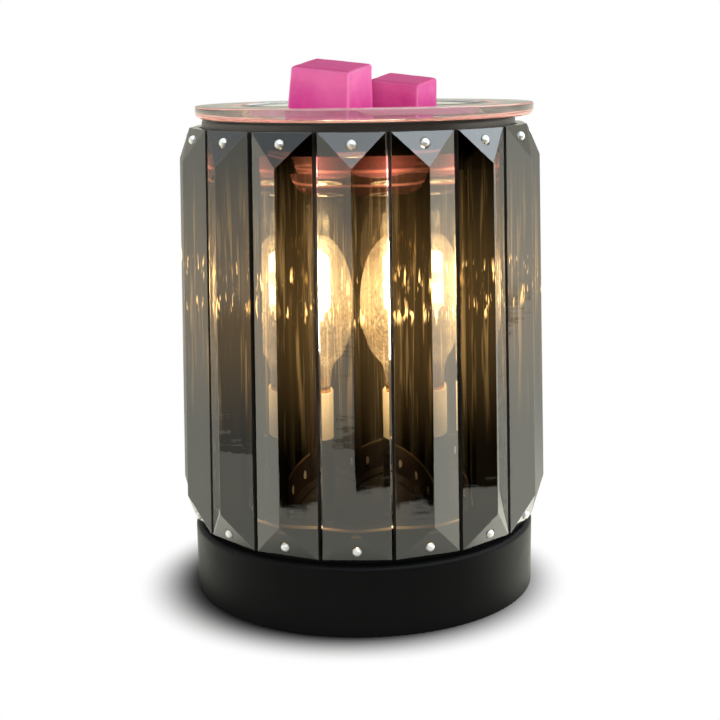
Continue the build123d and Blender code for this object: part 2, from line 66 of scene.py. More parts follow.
Colour = tuple[float, float, float, float]
Point = tuple[float, float]
Triple = tuple[float, float, float]
Tree = bpy.types.NodeTree
Node = bpy.types.Node
Socket = bpy.types.NodeSocket
Shape = bmesh.types.BMesh
Corner = bmesh.types.BMVert


class Body(Enum):
    """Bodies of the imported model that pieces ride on."""

    BASE = "base"
    DISH = "dish"
    LEFT_CUBE = "left_cube"
    RIGHT_CUBE = "right_cube"
    BULB = "bulb"


class Slot(Enum):
    """Material slots of the record."""

    ENAMEL = "satin_black_steel"
    CRYSTAL = "smoke_crystal"
    DISH_GLASS = "clear_glass"
    LAMP_GLASS = "lamp_glass"
    CHROME = "pin_chrome"
    BRASS = "lamp_brass"
    IVORY = "ivory_plastic"
    PHENOLIC = "black_plastic"
    RUBBER = "black_rubber"
    WAX = "pink_wax"
    ZINC = "zinc_steel"
    TUNGSTEN = "tungsten"
    GLOW = "lit_tungsten"
    WHITE_WIRE = "white_insulation"
    BLACK_WIRE = "black_insulation"


def linear(hex_colour: str) -> Colour:
    """Turns an sRGB hex colour into linear red, green, blue and alpha.

    Args:
        hex_colour: six hex digits after a number sign.

    Returns:
        The linear colour with alpha 1.
    """
    parts = [int(hex_colour[place:place + 2], 16) / 255 for place in (1, 3, 5)]
    red, green, blue = (
        part / 12.92 if part <= 0.04045 else ((part + 0.055) / 1.055) ** 2.4 for part in parts
    )
    return (red, green, blue, 1.0)


def per_metre(size_mm: float) -> float:
    """Texture scale that gives a pattern of this size in millimetres on Object coordinates."""
    return 1.0 / (size_mm * MM)


def in_metres(levels_mm: Sequence[float]) -> list[float]:
    """Turns levels in millimetres into metres."""
    return [level * MM for level in levels_mm]


def add_node(tree: Tree, kind: str, inputs: Any = (), **settings: Any) -> Node:
    """Adds one shader node.

    Args:
        tree: the node tree that gets the node.
        kind: the node's type name without its prefix.
        inputs: what each socket gets, by name or number or in the sockets' order: a value, or the
            socket that feeds it, or the node whose first output feeds it.
        settings: properties of the node itself.

    Returns:
        The new node.
    """
    node = tree.nodes.new("ShaderNode" + kind)
    for key, value in settings.items():
        setattr(node, key, value)
    for name, source in inputs.items() if isinstance(inputs, dict) else enumerate(inputs):
        if isinstance(source, Node):
            source = source.outputs[0]
        if isinstance(source, Socket):
            tree.links.new(source, node.inputs[name])
        else:
            node.inputs[name].default_value = source
    return node


def level_gap(tree: Tree, height: Socket, level_mm: float) -> Node:
    """Adds how far a height is from a level, in metres."""
    gap = add_node(tree, "Math", (height, level_mm * MM), operation="SUBTRACT")
    return add_node(tree, "Math", (gap,), operation="ABSOLUTE")


@dataclass(frozen=True)
class Finish:
    """A named finish, built as one material and shared by all pieces that have it."""

    name: str

    def material(self) -> bpy.types.Material:
        """Returns the finish's material and builds it on first use."""
        found = bpy.data.materials.get(self.name)
        if found is not None:
            return found
        material = bpy.data.materials.new(self.name)
        material.use_nodes = True
        material.node_tree.nodes.clear()
        self.dress(material.node_tree)
        return material

    def dress(self, tree: Tree) -> None:
        """Builds the nodes of the finish."""
        raise NotImplementedError


@dataclass(frozen=True)
class GrainedFinish(Finish):
    """An opaque finish with two tones, uneven gloss and a fine relief.

    Each of the warmer's plain materials is one of these: what differs is the tones, how far
    the gloss wanders, and how coarse and deep the relief is.
    """

    dark: str
    light: str
    tone_mm: float
    roughness: Point
    grain_mm: float
    grain_depth_mm: float
    metallic: float = 0.0
    ior: float = 1.5
    tone_spread: Point = (0.3, 0.7)

    def dress(self, tree: Tree) -> None:
        """Builds two tones, a gloss that follows them, and the relief."""
        place = add_node(tree, "TexCoord").outputs["Object"]
        scale = per_metre(self.tone_mm)
        tone = add_node(tree, "TexNoise", {"Vector": place, "Scale": scale, "Detail": 4.0, "Roughness": 0.6})
        tones = {COLOUR_A: linear(self.dark), COLOUR_B: linear(self.light)}
        colour = add_node(tree, "Mix", {0: tone, **tones}, data_type="RGBA").outputs[MIXED_COLOUR]
        gloss = add_node(tree, "MapRange", (tone, *self.tone_spread, *self.roughness))
        scale = per_metre(self.grain_mm)
        grain = add_node(tree, "TexNoise", {"Vector": place, "Scale": scale, "Detail": 2.0, "Roughness": 0.5})
        surface = {
            "Base Color": colour,
            "Roughness": gloss,
            "Metallic": self.metallic,
            "IOR": self.ior,
            "Normal": add_node(
                tree, "Bump", {"Height": grain, "Strength": 1.0, "Distance": self.grain_depth_mm * MM},
            ),
            **self.own_light(tree, place),
        }
        add_node(tree, "OutputMaterial", {"Surface": add_node(tree, "BsdfPrincipled", surface)})

    def own_light(self, tree: Tree, place: Socket) -> dict[str, Any]:
        """Emission inputs of the surface; a plain finish has none."""
        return {}


@dataclass(frozen=True)
class PaintedGlowFinish(GrainedFinish):
    """A finish with a painted glow that grows along one axis, standing in for the lamp's light on the piece.
    """

    glow: str = WHITE
    glow_axis: str = "Z"
    glow_levels_mm: Point = (0.0, 1.0)
    glow_strengths: Point = (0.0, 1.0)

    def own_light(self, tree: Tree, place: Socket) -> dict[str, Any]:
        """Adds the painted glow along its axis and returns the surface's emission inputs."""
        along = add_node(tree, "SeparateXYZ", (place,)).outputs[self.glow_axis]
        levels = in_metres(self.glow_levels_mm)
        glow = add_node(tree, "MapRange", (along, *levels, *self.glow_strengths), **SMOOTH)
        return {"Emission Color": linear(self.glow), "Emission Strength": glow}


@dataclass(frozen=True)
class PaintedLampGlint:
    """Painted lamp light on cut glass: an emitted warm glow, streaks and sparks that stand in for light which
    its lines and flaws send on.
    """

    tone: str
    level_mm: float
    reach_mm: float
    glow: float
    streak_mm: float
    streak: float
    spark_levels_mm: Point
    spark_reach_mm: float
    spark_mm: float
    spark: float
    spark_fewest: float
    streak_fewest: float = 0.54
    streak_stretch: float = 0.03
    spark_stretch: float = 0.16
    peak: float = 0.12
    cluster: float = 14.0

    def near(self, tree: Tree, height: Socket, level: float, reach: float) -> Node:
        """Adds how near a height is to a level, from 0 at the reach to 1."""
        return add_node(tree, "MapRange", (level_gap(tree, height, level), reach * MM, 0.0), **SMOOTH)

    def lines(self, tree: Tree, place: Socket, size: float, stretch: float, fewest: float) -> Node:
        """Adds upright lines: noise drawn out along Z, of which only the peaks are kept."""
        drawn = add_node(tree, "VectorMath", (place, (1.0, 1.0, stretch)), operation="MULTIPLY")
        scale = per_metre(size)
        waves = add_node(tree, "TexNoise", {"Vector": drawn, "Scale": scale, "Detail": 2.0, "Roughness": 0.6})
        return add_node(tree, "MapRange", (waves, fewest, fewest + self.peak))

    def strength(self, tree: Tree, place: Socket) -> Node:
        """Adds the strength of the painted light all over the glass.

        Args:
            tree: the node tree of the finish.
            place: Object coordinates.

        Returns:
            The node that gives the emission strength.
        """
        height = add_node(tree, "SeparateXYZ", (place,)).outputs["Z"]
        lines = self.lines(tree, place, self.streak_mm, self.streak_stretch, self.streak_fewest)
        streaks = add_node(tree, "Math", (lines, self.streak, self.glow), operation="MULTIPLY_ADD")
        near = self.near(tree, height, self.level_mm, self.reach_mm)
        total = add_node(tree, "Math", (streaks, near), operation="MULTIPLY")
        scale = per_metre(self.cluster * self.spark_mm)
        clusters = add_node(tree, "TexNoise", {"Vector": place, "Scale": scale, "Detail": 0.0})
        spark_lines = self.lines(tree, place, self.spark_mm, self.spark_stretch, self.spark_fewest)
        sparks = add_node(tree, "Math", (spark_lines, clusters), operation="MULTIPLY")
        for level in self.spark_levels_mm:
            near = self.near(tree, height, level, self.spark_reach_mm)
            row = add_node(tree, "Math", (sparks, near), operation="MULTIPLY")
            total = add_node(tree, "Math", (row, self.spark, total), operation="MULTIPLY_ADD")
        return total


@dataclass(frozen=True)
class ClearFinish(Finish):
    """Polished solid glass with faint waves, which lets the light of lamps through."""

    body: str
    tint: str
    density: float
    ior: float
    wave_mm: float
    wave_depth_mm: float
    wave_stretch: float = 1.0
    rim_haze: float = 0.0
    rim_levels_mm: Point = (0.0, 1.0)
    glint: Optional[PaintedLampGlint] = None

    def dress(self, tree: Tree) -> None:
        """Builds the refracting surface, its absorbing inside and the way for lamp light."""
        place = add_node(tree, "TexCoord").outputs["Object"]
        drawn = add_node(tree, "VectorMath", (place, (1.0, 1.0, self.wave_stretch)), operation="MULTIPLY")
        scale = per_metre(self.wave_mm)
        waves = add_node(tree, "TexNoise", {"Vector": drawn, "Scale": scale, "Detail": 1.0, "Roughness": 0.4})
        surface = {
            "Base Color": linear(self.body),
            "Roughness": 0.0,
            "IOR": self.ior,
            "Transmission Weight": 1.0,
            "Normal": add_node(
                tree, "Bump", {"Height": waves, "Strength": 1.0, "Distance": self.wave_depth_mm * MM},
            ),
        }
        # Painted glint: emission that stands in for lamp light sent on by the glass
        if self.glint is not None:
            surface["Emission Color"] = linear(self.glint.tone)
            surface["Emission Strength"] = self.glint.strength(tree, place)
        if self.rim_haze:
            height = add_node(tree, "SeparateXYZ", (place,)).outputs["Z"]
            levels = in_metres(self.rim_levels_mm)
            surface["Transmission Weight"] = add_node(
                tree, "MapRange", (height, *levels, 1.0, 1.0 - self.rim_haze), **SMOOTH,
            )
        glass = add_node(tree, "BsdfPrincipled", surface)
        for_lamp = add_node(tree, "LightPath").outputs["Is Shadow Ray"]
        skin = add_node(tree, "MixShader", (for_lamp, glass, add_node(tree, "BsdfTransparent")))
        inside = add_node(tree, "VolumeAbsorption", {"Color": linear(self.tint), "Density": self.density})
        add_node(tree, "OutputMaterial", {"Surface": skin, "Volume": inside})


@dataclass(frozen=True)
class LampGlass(Finish):
    """Thin lamp glass with a bloom inside, and a painted glow round the filament's height."""

    bloom: str
    glow: str
    glow_levels_mm: tuple[float, ...]
    glow_reach_mm: float
    glow_strength: float
    speck_mm: float
    dimple_mm: float
    haze: float
    cover: Point
    least_glow: float = 0.06
    speck_spread: Point = (0.4, 0.7)
    speck_levels: Point = (0.35, 1.3)
    edge_blend: float = 0.3
    ior: float = 1.3

    def dress(self, tree: Tree) -> None:
        """Builds thin glass with speckled bloom and a painted glow that is strongest at the filament's
        height.
        """
        place = add_node(tree, "TexCoord").outputs["Object"]
        height = add_node(tree, "SeparateXYZ", (place,)).outputs["Z"]
        distance, *others = [level_gap(tree, height, level) for level in self.glow_levels_mm]
        for gap in others:
            distance = add_node(tree, "Math", (distance, gap), operation="MINIMUM")
        near = add_node(
            tree, "MapRange", (distance, self.glow_reach_mm * MM, 0.0, self.least_glow, 1.0),
            interpolation_type="SMOOTHERSTEP",
        )
        scale = per_metre(self.speck_mm)
        motes = add_node(tree, "TexNoise", {"Vector": place, "Scale": scale, "Detail": 3.0, "Roughness": 0.7})
        speckle = add_node(tree, "MapRange", (motes, *self.speck_spread, *self.speck_levels))
        shine = add_node(tree, "Math", (near, speckle), operation="MULTIPLY")
        edge = add_node(tree, "LayerWeight", {"Blend": self.edge_blend}).outputs["Facing"]
        depth = add_node(tree, "MapRange", (edge, 0.0, 1.0, *self.cover))
        cover = add_node(tree, "Math", (depth, speckle), operation="MULTIPLY", use_clamp=True)
        surface = {
            "Base Color": linear(self.bloom),
            "Roughness": self.haze,
            "IOR": self.ior,
            "Transmission Weight": 1.0,
            "Emission Color": linear(self.glow),
            "Emission Strength": add_node(tree, "Math", (shine, self.glow_strength), operation="MULTIPLY"),
            "Normal": add_node(
                tree, "Bump", {"Height": motes, "Strength": 1.0, "Distance": self.dimple_mm * MM},
            ),
        }
        glass = add_node(tree, "BsdfPrincipled", surface)
        skin = add_node(tree, "MixShader", (cover, add_node(tree, "BsdfTransparent"), glass))
        add_node(tree, "OutputMaterial", {"Surface": skin})


@dataclass(frozen=True)
class GlowingWire(Finish):
    """Tungsten at white heat."""

    heat: str
    strength: float
    roughness: float = 0.4

    def dress(self, tree: Tree) -> None:
        """Builds hot metal that shines by itself."""
        surface = {
            "Base Color": linear(self.heat),
            "Metallic": 1.0,
            "Roughness": self.roughness,
            "Emission Color": linear(self.heat),
            "Emission Strength": self.strength,
        }
        add_node(tree, "OutputMaterial", {"Surface": add_node(tree, "BsdfPrincipled", surface)})


@dataclass(frozen=True)
class WaxFinish(Finish):
    """Scented paraffin wax, dyed pink: light sinks in, edges look paler, painted lamp light makes the foot
    paler and glowing, and painted shade deepens the top.
    """

    deep: str
    mid: str
    pale: str
    mottle_mm: float
    pale_levels_mm: Point
    deep_levels_mm: Point
    skin_mm: float
    skin_depth_mm: float
    # Strength of the painted glow at the foot
    painted_foot_glow: float = 0.0
    # Deeper tone of upward faces: painted shade on the top
    crown: str = "#C63078"
    pale_share: float = 0.55
    mottle_spread: Point = (0.35, 0.68)
    mottle_share: float = 0.4
    rise_share: float = 0.7

    def dye(self, tree: Tree, place: Socket, height: Socket, foot: Node) -> Socket:
        """Adds the mottled dye, paler near the edges, with painted lamp light that makes the feet paler and
        painted shade that deepens the top.

        Args:
            tree: the node tree of the finish.
            place: Object coordinates.
            height: the height in them.
            foot: the share of painted lamp light that makes the foot paler.

        Returns:
            The colour.
        """
        scale = per_metre(self.mottle_mm)
        cloud = add_node(tree, "TexNoise", {"Vector": place, "Scale": scale, "Detail": 5.0, "Roughness": 0.6})
        spread = add_node(tree, "MapRange", (cloud, *self.mottle_spread))
        rise = add_node(tree, "MapRange", (height, *in_metres(self.deep_levels_mm), 0.0, self.rise_share))
        share = add_node(tree, "Math", (spread, self.mottle_share, rise), operation="MULTIPLY_ADD")
        # Paler towards the edges of the melts
        edge_paleness = add_node(tree, "Attribute", attribute_name=EDGE_LAYER).outputs["Fac"]
        paleness = add_node(tree, "Math", (foot, edge_paleness), operation="MAXIMUM")
        # Painted shade: upward faces take the deeper top tone
        crown = add_node(tree, "Attribute", attribute_name=TOP_SHADE_LAYER).outputs["Fac"]
        colour: Any = linear(self.deep)
        for part, tone in ((share, self.mid), (paleness, self.pale), (crown, self.crown)):
            tones = {COLOUR_A: colour, COLOUR_B: linear(tone)}
            colour = add_node(tree, "Mix", {0: part, **tones}, data_type="RGBA").outputs[MIXED_COLOUR]
        return colour

    def dress(self, tree: Tree) -> None:
        """Builds the dye, the light that sinks in and the dull skin."""
        place = add_node(tree, "TexCoord").outputs["Object"]
        height = add_node(tree, "SeparateXYZ", (place,)).outputs["Z"]
        # Painted lamp light: the foot is paler and glows with the pale tone
        levels = in_metres(self.pale_levels_mm)
        foot = add_node(tree, "MapRange", (height, *levels, self.pale_share, 0.0), **SMOOTH)
        scale = per_metre(self.skin_mm)
        skin = add_node(tree, "TexNoise", {"Vector": place, "Scale": scale, "Detail": 4.0, "Roughness": 0.55})
        surface = {
            "Base Color": self.dye(tree, place, height, foot),
            "Roughness": 0.5,
            "IOR": 1.44,
            "Subsurface Weight": 0.55,
            "Subsurface Radius": (1.0, 0.35, 0.6),
            "Subsurface Scale": 4.0 * MM,
            "Specular IOR Level": 0.06,
            # Painted glow at the foot, standing in for the lamp's light from below
            "Emission Color": linear(self.pale),
            "Emission Strength": add_node(tree, "Math", (foot, self.painted_foot_glow), operation="MULTIPLY"),
            "Normal": add_node(
                tree, "Bump", {"Height": skin, "Strength": 1.0, "Distance": self.skin_depth_mm * MM},
            ),
        }
        add_node(tree, "OutputMaterial", {"Surface": add_node(tree, "BsdfPrincipled", surface)})


# Stove enamel on drawn steel: sprayed and baked, so a soft satin sheen over a faint orange peel
ENAMEL = GrainedFinish(
    "stove_enamel_satin_black", "#0C0C0D", "#131314", 14.0, (0.34, 0.44), 1.4, 0.012, ior=1.15,
)
# The same enamel on the ring under the dish, in lighter warm tones: painted light from the lamp and the dish
# above it
RING_ENAMEL_PAINTED_LIGHT = GrainedFinish("stove_enamel_painted_warm_light", "#2B2623", "#3B3430", 14.0, (0.3, 0.42), 1.4, 0.012)
# Smoke crystal glass: cut and polished facets with a metallic smoke, so mirror glints over dark depth, and a
# painted warm glow, streaks and sparks at the lamp's height
SMOKE_CRYSTAL = ClearFinish(
    "smoke_crystal_glass", "#CDBD9C", "#B0ACA3", 640.0, 1.84, 2.2, 0.012, wave_stretch=0.05,
    glint=PaintedLampGlint(
        "#FFC878", level_mm=104.0, reach_mm=47.0, glow=0.06, streak_mm=1.5, streak=0.26,
        spark_levels_mm=(103.0, 112.5), spark_reach_mm=5.0, spark_mm=1.4, spark=9.0, spark_fewest=0.6,
    ),
)
# Side faces of the crystals, unpolished and near black: painted shade, so the seams between prisms look black
SEAM_SHADE_SIDE = GrainedFinish("crystal_side_painted_seam_shade", "#0B0A08", "#17140F", 3.0, (0.6, 0.75), 0.4, 0.01)
# Soda lime glass, pressed and fire polished: clear with grey green edges and soft ripples, with a painted
# pink glow and pink lines
DISH_GLASS = ClearFinish(
    "pressed_soda_glass", "#EEF1EA", "#BAC4B4", 7.0, 1.5, 6.0, 0.05,
    rim_haze=0.1, rim_levels_mm=(156.2, 158.2),
    glint=PaintedLampGlint(
        "#FFA294", level_mm=145.0, reach_mm=9.0, glow=0.42, streak_mm=6.0, streak=0.2,
        spark_levels_mm=(139.0, 143.5), spark_reach_mm=0.7, spark_mm=3.0, spark=5.0, spark_fewest=-1.0,
    ),
)
# Blown soda glass of a clear lamp with a faint bloom, and a painted peach glow round the filament
LAMP_GLASS = LampGlass(
    "blown_lamp_glass", "#FFF6E8", "#FFE2BC", glow_levels_mm=(99.6,), glow_reach_mm=17.0, glow_strength=20.0,
    speck_mm=1.3, dimple_mm=0.06, haze=0.5, cover=(0.1, 0.9),
)
# Fused quartz capsule round the filament, frosted by heat, with a strong painted white glow where the coil is
CAPSULE_GLASS = LampGlass(
    "fused_quartz_capsule", "#FFFDF6", "#FFEFCF", glow_levels_mm=(99.6, 110.2), glow_reach_mm=4.4,
    glow_strength=700.0, speck_mm=0.9, dimple_mm=0.03, haze=0.3, cover=(0.4, 0.95),
)
# Solid glass of the lamp's stem: clear with no smoke
STEM_GLASS = ClearFinish("lamp_stem_glass", WHITE, "#E8ECE6", 8.0, 1.5, 6.0, 0.01)
# Satin chrome plate: a soft mirror that gathers light from all round, so the balls look white
CHROME = GrainedFinish("satin_chrome_plate", "#ECECEC", "#FAFAFA", 4.0, (0.5, 0.6), 0.5, 0.002, 1.0)
# Rolled brass of lamp parts: warm, with dull spots from handling
BRASS = GrainedFinish("rolled_lamp_brass", "#B88A3F", "#D9B365", 3.0, (0.18, 0.34), 0.7, 0.004, 1.0)
# Ivory urea moulding: smooth and faintly waxy, lit from above by the lamp, with a painted glow that grows
# towards its top
IVORY = PaintedGlowFinish(
    "ivory_urea_moulding", "#E9D9AE", "#F3E8C8", 9.0, (0.36, 0.48), 0.9, 0.006,
    glow="#FFE9C8", glow_levels_mm=(50.0, 68.0), glow_strengths=(1.5, 5.0),
)
# Rolled lip of the lower ring, enamelled, with a painted glow strongest at its front: a thin pale gold line
# that stands in for the lamp's light
GLOW_PAINTED_LIP = PaintedGlowFinish(
    "rolled_ring_lip_painted_glow", "#17130E", "#221C14", 6.0, (0.3, 0.42), 0.9, 0.004,
    glow="#FFD9A6", glow_axis="Y", glow_levels_mm=(-44.0, -20.0), glow_strengths=(1.4, 0.12),
)
# Black phenolic moulding: dense, dull, with moulding marks
PHENOLIC = GrainedFinish("black_phenolic_moulding", "#141413", "#201F1D", 6.0, (0.45, 0.62), 0.6, 0.01)
# Moulded rubber: dead matt with a fine dusty tooth
RUBBER = GrainedFinish("moulded_black_rubber", "#1A1A19", "#262524", 5.0, (0.72, 0.88), 0.5, 0.02)
# Zinc plated steel: cool grey with cloudy plating
ZINC = GrainedFinish("zinc_plated_steel", "#A9ACAD", "#C9CBCA", 2.5, (0.26, 0.42), 0.6, 0.004, 1.0)
# Drawn tungsten wire: dark grey metal with a soft shine
TUNGSTEN = GrainedFinish("drawn_tungsten_wire", "#5C5853", "#7A756E", 1.5, (0.3, 0.45), 0.3, 0.002, 1.0)
# The lit filament: white heat that lights the cage from inside
FILAMENT_GLOW = GlowingWire("glowing_tungsten_coil", "#FFE6C4", 100000.0)
# Paraffin wax melts: deep at the foot and paler upwards, with paler edges and painted shade on the top faces
CUBE_WAX = WaxFinish(
    "pink_paraffin_melt", "#C8288C", "#F284BE", "#FFD8E8", 16.0, (140.0, 146.0), (160.0, 172.0), 3.0, 0.05,
)
# The set wax under them: even pink, with a painted glow and paleness at its foot for the lamp's light from
# below
POOL_WAX = WaxFinish(
    "pink_set_paraffin", "#DE6C98", "#EE90B2", "#F8B8CC", 24.0, (138.0, 147.0), (130.0, 150.0), 7.0, 0.12,
    painted_foot_glow=4.0,
)
# Vinyl wire insulation: smooth with a low shine
WHITE_WIRE = GrainedFinish("white_vinyl_insulation", "#DAD8D0", "#E8E6DE", 8.0, (0.4, 0.5), 0.8, 0.004)
BLACK_WIRE = GrainedFinish("black_vinyl_insulation", "#161616", "#1F1F1F", 8.0, (0.4, 0.5), 0.8, 0.004)

SLOT_FINISHES: dict[Slot, Finish] = {
    Slot.ENAMEL: ENAMEL,
    Slot.CRYSTAL: SMOKE_CRYSTAL,
    Slot.DISH_GLASS: DISH_GLASS,
    Slot.LAMP_GLASS: STEM_GLASS,
    Slot.CHROME: CHROME,
    Slot.BRASS: BRASS,
    Slot.IVORY: IVORY,
    Slot.PHENOLIC: PHENOLIC,
    Slot.RUBBER: RUBBER,
    Slot.WAX: POOL_WAX,
    Slot.ZINC: ZINC,
    Slot.TUNGSTEN: TUNGSTEN,
    Slot.GLOW: FILAMENT_GLOW,
    Slot.WHITE_WIRE: WHITE_WIRE,
    Slot.BLACK_WIRE: BLACK_WIRE,
}
NODE_FINISHES: dict[str, Finish] = {"bulb_glass": LAMP_GLASS, "upper_ring": RING_ENAMEL_PAINTED_LIGHT}


def tidy(shape: Shape) -> None:
    """Closes seams and poles and turns all faces outwards."""
    bmesh.ops.remove_doubles(shape, verts=shape.verts[:], dist=0.002 * MM)
    bmesh.ops.dissolve_degenerate(shape, edges=shape.edges[:], dist=0.001 * MM)
    bmesh.ops.recalc_face_normals(shape, faces=shape.faces[:])


def rounded(shape: Shape, geom: Sequence[Any], reach: float, segments: int, affect: str = "EDGES") -> None:
    """Rounds edges or corners with an arc that starts at a reach from them."""
    bmesh.ops.bevel(
        shape, geom=geom, offset=reach, offset_type="OFFSET", segments=segments, profile=0.5,
        affect=affect, material=-1,
    )


def add_block(shape: Shape, size: Triple, place: Matrix) -> list[Corner]:
    """Adds a block whose middle is where the matrix puts it, and returns its corners."""
    return bmesh.ops.create_cube(shape, size=1.0, matrix=place @ Matrix.Diagonal((*size, 1.0)))["verts"]


def add_rod(shape: Shape, radius: float, depth: float, place: Matrix, segments: int) -> None:
    """Adds a closed round rod whose middle is where the matrix puts it."""
    bmesh.ops.create_cone(
        shape, cap_ends=True, segments=segments, radius1=radius, radius2=radius, depth=depth, matrix=place,
    )


def repeated(shape: Shape, count: int) -> list[list[Corner]]:
    """Repeats all of a mesh in place and returns each copy's corners, the first one's first."""
    one = shape.verts[:] + shape.edges[:] + shape.faces[:]
    groups = [shape.verts[:]]
    for _ in range(1, count):
        copy = bmesh.ops.duplicate(shape, geom=one)["geom"]
        groups.append([item for item in copy if isinstance(item, Corner)])
    return groups


def spun(profile: Sequence[Point], rounds: dict[int, float], steps: int, closed: bool = True) -> Shape:
    """Turns a profile once round the upright axis.

    Args:
        profile: radius and height of each corner in millimetres, in order.
        rounds: radius in millimetres of each corner that is rounded, by its number.
        steps: faces round the axis.
        closed: whether the last corner is joined to the first.

    Returns:
        The closed turned mesh, in metres.
    """
    shape = bmesh.new()
    corners = [shape.verts.new((radius * MM, 0.0, level * MM)) for radius, level in profile]
    ends = list(zip(corners, corners[1:]))
    if closed:
        ends.append((corners[-1], corners[0]))
    for first, second in ends:
        shape.edges.new((first, second))
    for number, radius in rounds.items():
        corner = corners[number]
        arms = [(edge.other_vert(corner).co - corner.co).normalized() for edge in corner.link_edges]
        reach = radius * MM / tan(arms[0].angle(arms[1]) / 2)
        rounded(shape, [corner], reach, 6, "VERTICES")
    bmesh.ops.spin(
        shape, geom=shape.verts[:] + shape.edges[:], axis=(0, 0, 1), cent=(0, 0, 0),
        angle=2 * pi, steps=steps, use_merge=True,
    )
    tidy(shape)
    return shape


def carved(shape: Shape, cutter: Shape) -> Shape:
    """Cuts one closed mesh out of another.

    Args:
        shape: the mesh that is cut; it is freed here.
        cutter: the mesh that is taken out of it; it is freed here.

    Returns:
        What is left, as a new mesh.
    """
    blanks = []
    for part in (shape, cutter):
        mesh = bpy.data.meshes.new("blank")
        part.to_mesh(mesh)
        part.free()
        blanks.append(bpy.data.objects.new("blank", mesh))
        bpy.context.scene.collection.objects.link(blanks[-1])
    cut = blanks[0].modifiers.new("cut", "BOOLEAN")
    cut.operation = "DIFFERENCE"
    cut.solver = "EXACT"
    cut.object = blanks[1]
    rest = bmesh.new()
    rest.from_object(blanks[0], bpy.context.evaluated_depsgraph_get())
    for blank in blanks:
        bpy.data.meshes.remove(blank.data)
    return rest


def finish_piece(
    shape: Shape,
    name: str,
    finish: Finish,
    body: Body,
    nodes: Sequence[str] = (),
    smooth_degrees: float = 35.0,
    second: Optional[Finish] = None,
) -> None:
    """Makes a piece of the finished mesh, dresses it and ties it to its body.

    Args:
        shape: the mesh in its place, in metres; it is freed here.
        name: the piece's name.
        finish: the finish that it gets.
        body: the body that it rides on.
        nodes: the CAD nodes that it stands for.
        smooth_degrees: edges bent by more than this stay crisp.
        second: the finish of faces that carry material number 1.
    """
    for face in shape.faces:
        face.smooth = True
    limit = radians(smooth_degrees)
    for edge in shape.edges:
        edge.smooth = len(edge.link_faces) == 2 and edge.calc_face_angle(pi) < limit
    mesh = bpy.data.meshes.new(name)
    shape.to_mesh(mesh)
    shape.free()
    for part in (finish, second):
        if part is not None:
            mesh.materials.append(part.material())
    piece = bpy.data.objects.new(name, mesh)
    bpy.context.scene.collection.objects.link(piece)
    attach(piece, body.value)
    if nodes:
        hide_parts(*nodes)
    LOG.info("%s: %d faces on %s", name, len(mesh.polygons), body.value)


